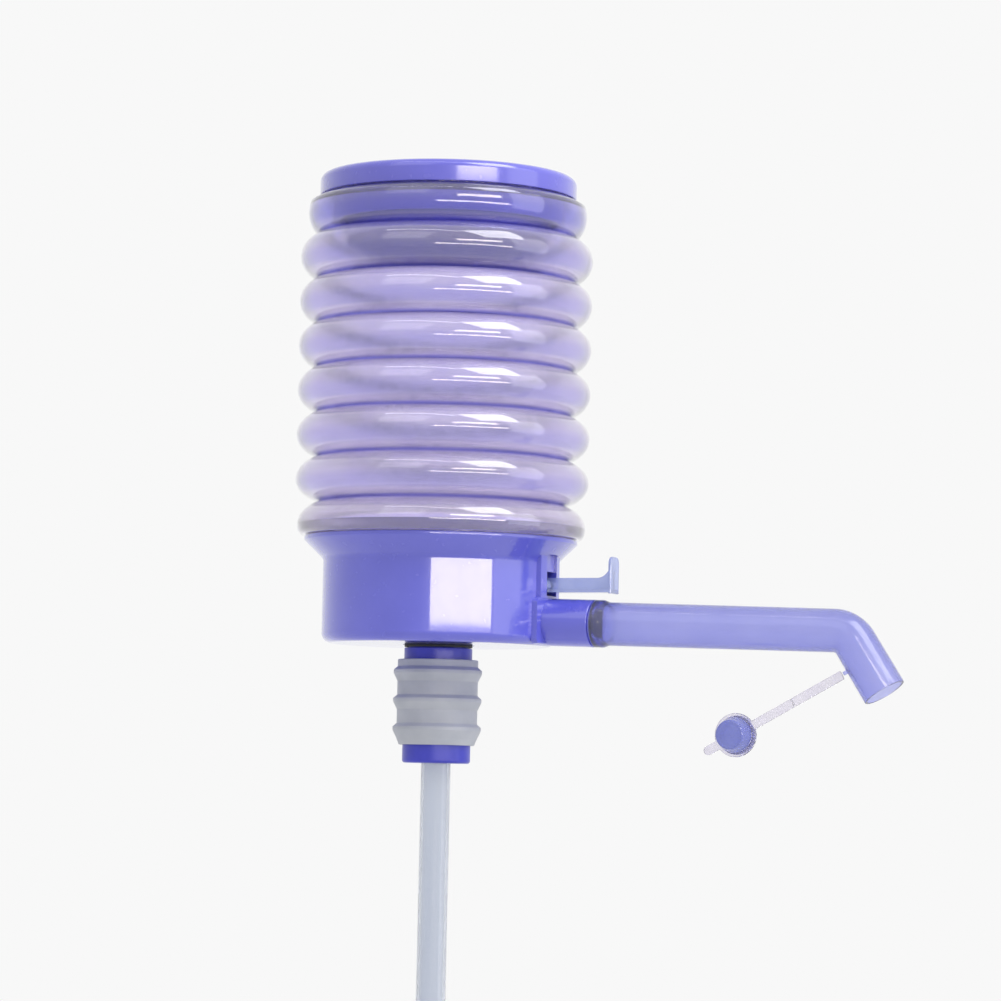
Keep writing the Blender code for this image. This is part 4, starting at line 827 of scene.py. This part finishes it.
def make_lever():
    place = Matrix.Translation((PIN[0], 0, PIN[1]))
    back = LEVER_REACH - 0.9
    curve = []
    for step in range(13):
        angle = math.pi / 2 * step / 12
        curve.append((back - 4.5 + 4.5 * math.sin(angle), 2.3 + 5.6 * (1 - math.cos(angle))))
    outline = [(0, -1.7), (back + 0.4, -1.7), (back + 0.4, curve[-1][1]), *reversed(curve), (0, 2.3)]
    web = slab("lever_web", outline, -0.8, 0.8, place @ upright())
    flange = slab("lever_flange", box_outline(0, back + 0.4, -3.3, 3.3), -2.2, -1.2, place, 0.25)
    hub = peg("lever_moulding", (PIN[0], -3.3, PIN[1]), (PIN[0], 3.3, PIN[1]), 1.9, SMALL, 0.2)
    facing = place @ Matrix(((0, 0, 1), (1, 0, 0), (0, 1, 0))).to_4x4()
    tab_outline = rounded([(-3.3, -2.5, 0.3), (3.3, -2.5, 0.3), (3.3, 8.6, 2), (-3.3, 8.6, 2)], 6)
    tab = slab("lever_tab", tab_outline, back, LEVER_REACH, facing, 0.25)
    fork = slab("lever_fork", box_outline(-12, 0, -2.6, 2.6), -0.3, 0.7, place, 0.15)
    notch = slab("fork_notch", box_outline(-13, -7.6, -1.5, 1.5), -1.3, 1.7, place)
    hole = peg("lever_hole", (PIN[0], -4.3, PIN[1]), (PIN[0], 4.3, PIN[1]), PIN_HOLE)
    worked(hub, "UNION", web, flange, tab, fork)
    worked(hub, "DIFFERENCE", notch, hole)
    fitted(hub, "lever", LEVER_PLASTIC, "release_lever")
    pin = peg("lever_pin_wire", (PIN[0], -6.2, PIN[1]), (PIN[0], 6.2, PIN[1]), 0.8, 24, 0.1)
    fitted(pin, "base", SPRING_STEEL, "lever_pin")


def make_release_valve():
    floor = 15.374
    top = 24.274
    axle = Matrix.Translation((PIN[0] - 9.8, 0, 0))
    pad_low = floor + 0.15
    pad = rounded([(0, pad_low), (3.4, pad_low, 0.2), (3.4, pad_low + 1.1, 0.2), (0, pad_low + 1.1)], 2)
    fitted(placed(turned("release_pad_rubber", pad, SMALL), axle), "lever", SEAL_RUBBER, "release_pad")
    disc = pad_low + 1.25
    collar = PIN[1] - 0.3 + 1 + 0.3
    stem = rounded([
        (0, disc),
        (3, disc, 0.15),
        (3, disc + 0.6, 0.15),
        (1.1, disc + 0.6, 0.1),
        (1.1, collar, 0.1),
        (2.9, collar, 0.15),
        (2.9, collar + 0.7, 0.15),
        (1.1, collar + 0.7, 0.1),
        (1.1, collar + 2.1, 0.3),
        (0, collar + 2.1),
    ], 2)
    valve = placed(turned("release_stem_moulding", stem, SMALL), axle)
    fitted(valve, "lever", INNER_PLASTIC, "release_stem")
    low = collar + 0.7 + 0.35
    high = top - 1.2 - 0.35
    points = []
    for step in range(3 * 24 + 1):
        angle = math.tau * step / 24
        points.append(Vector((2 * math.cos(angle), 2 * math.sin(angle), low + (high - low) * step / 72)))
    ways = run_along(points)
    wire = [(points[0], ways[0], 0), *[(p, w, 0.2) for p, w in zip(points, ways)], (points[-1], ways[-1], 0)]
    spring = placed(lofted("release_spring_wire", wire, 10, (0, 0, 1)), axle)
    fitted(spring, "base", SPRING_STEEL, "release_spring")
    spring.modifiers.clear()
    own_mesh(spring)


# Neck stem, sleeve and dip tube


def make_stem():
    low = -36
    shell = turned("stem_moulding", rounded([
        (9.2, 2.9, 0.2),
        (9.8, 2.4, 0.2),
        (9.8, 1.9),
        (9.2, 1.9),
        (9.2, -1),
        (10.4, -1, 0.2),
        (10.4, low, 0.8),
        (7.4, low, 0.2),
        (7.4, 2.9, 0.2),
    ], 3), ROUND)
    ring = turned("stem_hub", rounded([
        (5.9, low + 8, 0.2), (5.9, low, 0.2), (4.8, low, 0.2), (4.8, low + 8, 0.2)
    ], 3), ROUND)
    ribs = []
    for index in range(3):
        turn = math.tau * index / 3
        outline = box_outline(5.35, 8.9, low + 0.8, low + 7.2)
        ribs.append(slab(f"stem_rib_{index}", outline, -0.6, 0.6, upright(turn)))
    worked(shell, "UNION", *ribs, ring)
    fitted(shell, "base", STEM_PLASTIC, "neck_stem")
    gasket = [(10.4, 0.1, 0.2), (10.4, -0.7, 0.2), (9.5, -0.7, 0.2), (9.5, 0.1, 0.2)]
    fitted(turned("stem_seal", rounded(gasket, 3), ROUND), "base", SEAL_RUBBER, "stem_gasket")
    inner = 10.7
    body = inner + 1.6
    crest = body + 1.2
    corners = [(body, -4.5, 0.3)]
    for index in range(3):
        high = -4.5 - 26 / 3 * (index + 1 / 4)
        corners += [(body, high, 0.3), (crest, high - 1, 0.4)]
        corners += [(crest, high - 2, 0.4), (body, high - 4.5, 0.5)]
    corners += [(body - 0.8, -30.5, 0.3), (inner, -30.5, 0.2), (inner, -4.5, 0.2)]
    fitted(turned("sleeve_silicone", rounded(corners, 4), 96), "base", SLEEVE_SILICONE, "stopper_sleeve")


def make_dip_tube():
    top = SPOUT_RISE - ELBOW_DROP + TUBE_SOCKET - SEAT_GAP
    for index, name in enumerate(("upper", "middle", "lower")):
        low = top - TUBE_LENGTH
        tube = rounded([
            (TUBE_RADIUS, top, 0.2),
            (TUBE_RADIUS, low, 0.2),
            (TUBE_BORE, low, 0.2),
            (TUBE_BORE, top, 0.2),
        ], 2)
        fitted(turned("tube_" + name, tube, ROUND), "base", TUBE_PLASTIC, "dip_tube_" + name)
        if index == 2:
            make_strainer(low)
            return
        middle = low - 0.6
        corners = [
            (COUPLING_RADIUS, middle + 11, 0.5),
            (COUPLING_RADIUS, middle - 11, 0.5),
            (TUBE_FIT, middle - 11, 0.2),
            (TUBE_FIT, middle - 0.3),
            (TUBE_BORE, middle - 0.3),
            (TUBE_BORE, middle + 0.3),
            (TUBE_FIT, middle + 0.3),
            (TUBE_FIT, middle + 11, 0.2),
        ]
        node = "tube_coupling_" + ("upper", "lower")[index]
        fitted(turned("coupling_" + name, rounded(corners, 3), ROUND), "base", COUPLING_PLASTIC, node)
        top = middle - 0.6


def make_strainer(tube_end):
    stop = tube_end - SEAT_GAP
    high = stop + TUBE_SOCKET
    low = stop - 10
    body = turned("strainer_moulding", rounded([
        (0, low),
        (COUPLING_RADIUS, low, 0.4),
        (6.8, low + 0.8, 0.4),
        (6.8, stop - 0.8, 0.4),
        (COUPLING_RADIUS, stop, 0.4),
        (COUPLING_RADIUS, high, 0.5),
        (TUBE_FIT, high, 0.2),
        (TUBE_FIT, stop),
        (TUBE_BORE, stop),
        (TUBE_BORE, low + 1.2, 0.3),
        (0, low + 1.2),
    ], 3), ROUND)
    slots = []
    for index in range(3):
        turn = math.pi * index / 3
        outline = box_outline(-8, 8, low + 2.4, low + 9.4)
        slots.append(slab(f"strainer_slot_{index}", outline, -1, 1, upright(turn)))
    worked(body, "DIFFERENCE", *slots)
    fitted(body, "base", COUPLING_PLASTIC, "foot_strainer")


def make_chamber():
    """The vent chamber keeps its CAD solid, in natural polypropylene."""
    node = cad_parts["vent_chamber"]
    node.data.materials.clear()
    node.data.materials.append(INNER_PLASTIC)


# Camera, light and floor

AZIMUTH = math.radians(24)
AHEAD = Vector((-math.sin(AZIMUTH), math.cos(AZIMUTH), 0))
RIGHT = Vector((math.cos(AZIMUTH), math.sin(AZIMUTH), 0))
UP = Vector((0, 0, 1))


def make_camera():
    """A long lens a little below the bellows, looking up and tilted by a degree."""
    pitch = math.radians(4.17)
    roll = math.radians(1.22)
    forward = AHEAD * math.cos(pitch) + UP * math.sin(pitch)
    upward = UP * math.cos(pitch) - AHEAD * math.sin(pitch)
    right = RIGHT * math.cos(roll) + upward * math.sin(roll)
    upward = upward * math.cos(roll) - RIGHT * math.sin(roll)
    eye = -AHEAD * 1.223 + RIGHT * 0.018 - UP * 0.0444
    lens = bpy.data.cameras.new("long_lens")
    lens.sensor_width = 36
    lens.lens = 143.86
    lens.clip_start = 0.05
    lens.clip_end = 20
    camera = bpy.data.objects.new("camera", lens)
    bpy.context.scene.collection.objects.link(camera)
    camera.matrix_world = Matrix((
        (right.x, upward.x, -forward.x, eye.x),
        (right.y, upward.y, -forward.y, eye.y),
        (right.z, upward.z, -forward.z, eye.z),
        (0, 0, 0, 1),
    ))
    bpy.context.scene.camera = camera


def aside(angle, distance):
    """A point at a distance from the axis, so many degrees to the right of the camera's side."""
    turn = math.radians(angle)
    return (RIGHT * math.sin(turn) - AHEAD * math.cos(turn)) * distance


def softbox(name, place, aim, width, height, radiance):
    """A rectangular lamp of a given brightness, unseen by the camera."""
    light = bpy.data.lights.new(name, "AREA")
    light.shape = "RECTANGLE"
    light.size = width
    light.size_y = height
    light.energy = radiance * width * height * math.pi
    lamp = bpy.data.objects.new(name, light)
    bpy.context.scene.collection.objects.link(lamp)
    lamp.location = place
    lamp.rotation_mode = "QUATERNION"
    lamp.rotation_quaternion = (Vector(aim) - Vector(place)).to_track_quat("-Z", "Y")
    lamp.visible_camera = False
    return lamp


def light_band(name, distance, angles, heights, radiance, rise=0):
    """A strip lamp bent round the pump that only shows in its gloss. Its upper corners may rise."""
    finish = bpy.data.materials.new(name)
    finish.use_nodes = True
    tree = finish.node_tree
    tree.nodes.clear()
    glow = add(tree, "ShaderNodeEmission", {"Color": linear("#fff6e8"), "Strength": radiance})
    add(tree, "ShaderNodeOutputMaterial", None, {"Surface": glow.outputs["Emission"]})
    mesh = bpy.data.meshes.new(name)
    points = []
    for step in range(25):
        share = step / 24
        across = aside(angles[0] + (angles[1] - angles[0]) * share, distance)
        points += [across + UP * heights[0], across + UP * (heights[1] + rise * (2 * share - 1) ** 2)]
    mesh.from_pydata(points, [], [(at, at + 1, at + 3, at + 2) for at in range(0, 48, 2)])
    mesh.materials.append(finish)
    band = bpy.data.objects.new(name, mesh)
    bpy.context.scene.collection.objects.link(band)
    band.visible_camera = False
    band.visible_diffuse = False
    band.visible_transmission = False


BACKDROP = "#f8f8f8"


def make_world():
    """A pale studio: white to the eye and in reflections, softer as a light."""
    world = bpy.data.worlds.new("studio")
    bpy.context.scene.world = world
    world.use_nodes = True
    tree = world.node_tree
    tree.nodes.clear()
    ray = add(tree, "ShaderNodeLightPath")
    seen = add(tree, "ShaderNodeMath", {"operation": "MAXIMUM"}, {
        0: ray.outputs["Is Camera Ray"], 1: ray.outputs["Is Glossy Ray"]
    })
    seen = add(tree, "ShaderNodeMath", {"operation": "MAXIMUM"}, {
        0: seen.outputs["Value"], 1: ray.outputs["Is Transmission Ray"]
    })
    ambient = add(tree, "ShaderNodeBackground", {"Color": linear("#ffffff"), "Strength": 0.62})
    backdrop = add(tree, "ShaderNodeBackground", {"Color": linear(BACKDROP), "Strength": 1})
    both = add(tree, "ShaderNodeMixShader", None, {
        0: seen.outputs["Value"], 1: ambient.outputs["Background"], 2: backdrop.outputs["Background"]
    })
    add(tree, "ShaderNodeOutputWorld", None, {"Surface": both.outputs["Shader"]})


def make_floor():
    """A pale floor under the strainer, fading into the backdrop away from the pump."""
    finish = bpy.data.materials.new("painted_pale_floor")
    finish.use_nodes = True
    tree = finish.node_tree
    tree.nodes.clear()
    place = add(tree, "ShaderNodeTexCoord")
    distance = add(tree, "ShaderNodeVectorMath", {"operation": "LENGTH"}, {0: place.outputs["Object"]})
    fade = add(
        tree, "ShaderNodeMapRange", {"From Min": 0.2, "From Max": 1.2}, {"Value": distance.outputs["Value"]}
    )
    grain = add(tree, "ShaderNodeTexNoise", {"Scale": 1 / (4 * MM)}, {"Vector": place.outputs["Object"]})
    relief = add(
        tree, "ShaderNodeBump", {"Strength": 0.2, "Distance": 0.1 * MM}, {"Height": grain.outputs["Fac"]}
    )
    paint = add(
        tree,
        "ShaderNodeBsdfPrincipled",
        {"Base Color": linear("#f4f4f4"), "Roughness": 0.7},
        {"Normal": relief.outputs["Normal"]},
    )
    glow = add(tree, "ShaderNodeEmission", {"Color": linear(BACKDROP), "Strength": 1})
    both = add(tree, "ShaderNodeMixShader", None, {
        0: fade.outputs["Result"], 1: paint.outputs["BSDF"], 2: glow.outputs["Emission"]
    })
    add(tree, "ShaderNodeOutputMaterial", None, {"Surface": both.outputs["Shader"]})
    solid = bmesh.new()
    bmesh.ops.create_circle(solid, cap_ends=True, segments=96, radius=1.6 / MM)
    floor = made("studio_floor", solid)
    floor.location.z = CAD_BOX[0].z - 0.0004
    floor.data.materials.append(finish)


def make_lights():
    softbox("key_softbox", aside(-35, 1.6) + UP * 1.2, (0, 0, 0.05), 1.2, 1.2, 0.8)
    softbox("fill_softbox", aside(70, 1.4) + UP * 0.3, (0, 0, 0.05), 0.8, 1.4, 1.2)
    window = softbox("window_softbox", aside(50, 0.79) + UP, (0, 0, 0.09), 0.67, 0.72, 7)
    window.visible_transmission = False
    edge = softbox("ceiling_strip", aside(-29, 0.5) + UP * 1.12, (0, 0, 0.09), 0.9, 0.06, 6)
    edge.visible_diffuse = False
    edge.visible_transmission = False
    light_band("housing_strip", 0.6, (-8, 51), (0.0243, 0.0585), 16, 0.006)
    light_band("cap_strip", 0.6, (8, 43), (0.218, 0.3), 12)


def main():
    bpy.context.scene.view_settings.view_transform = "Standard"
    make_housing()
    make_bellows()
    make_cap()
    make_deck()
    make_elbow()
    make_seal("elbow_seal", ELBOW_END - 2.3, "base", "elbow_oring")
    make_seal("spout_seal", SEAL_GROOVE + 0.5, "spout", "spout_oring")
    make_spout()
    make_strap()
    make_lever()
    make_release_valve()
    make_chamber()
    make_stem()
    make_dip_tube()
    make_camera()
    make_world()
    make_floor()
    make_lights()


main()
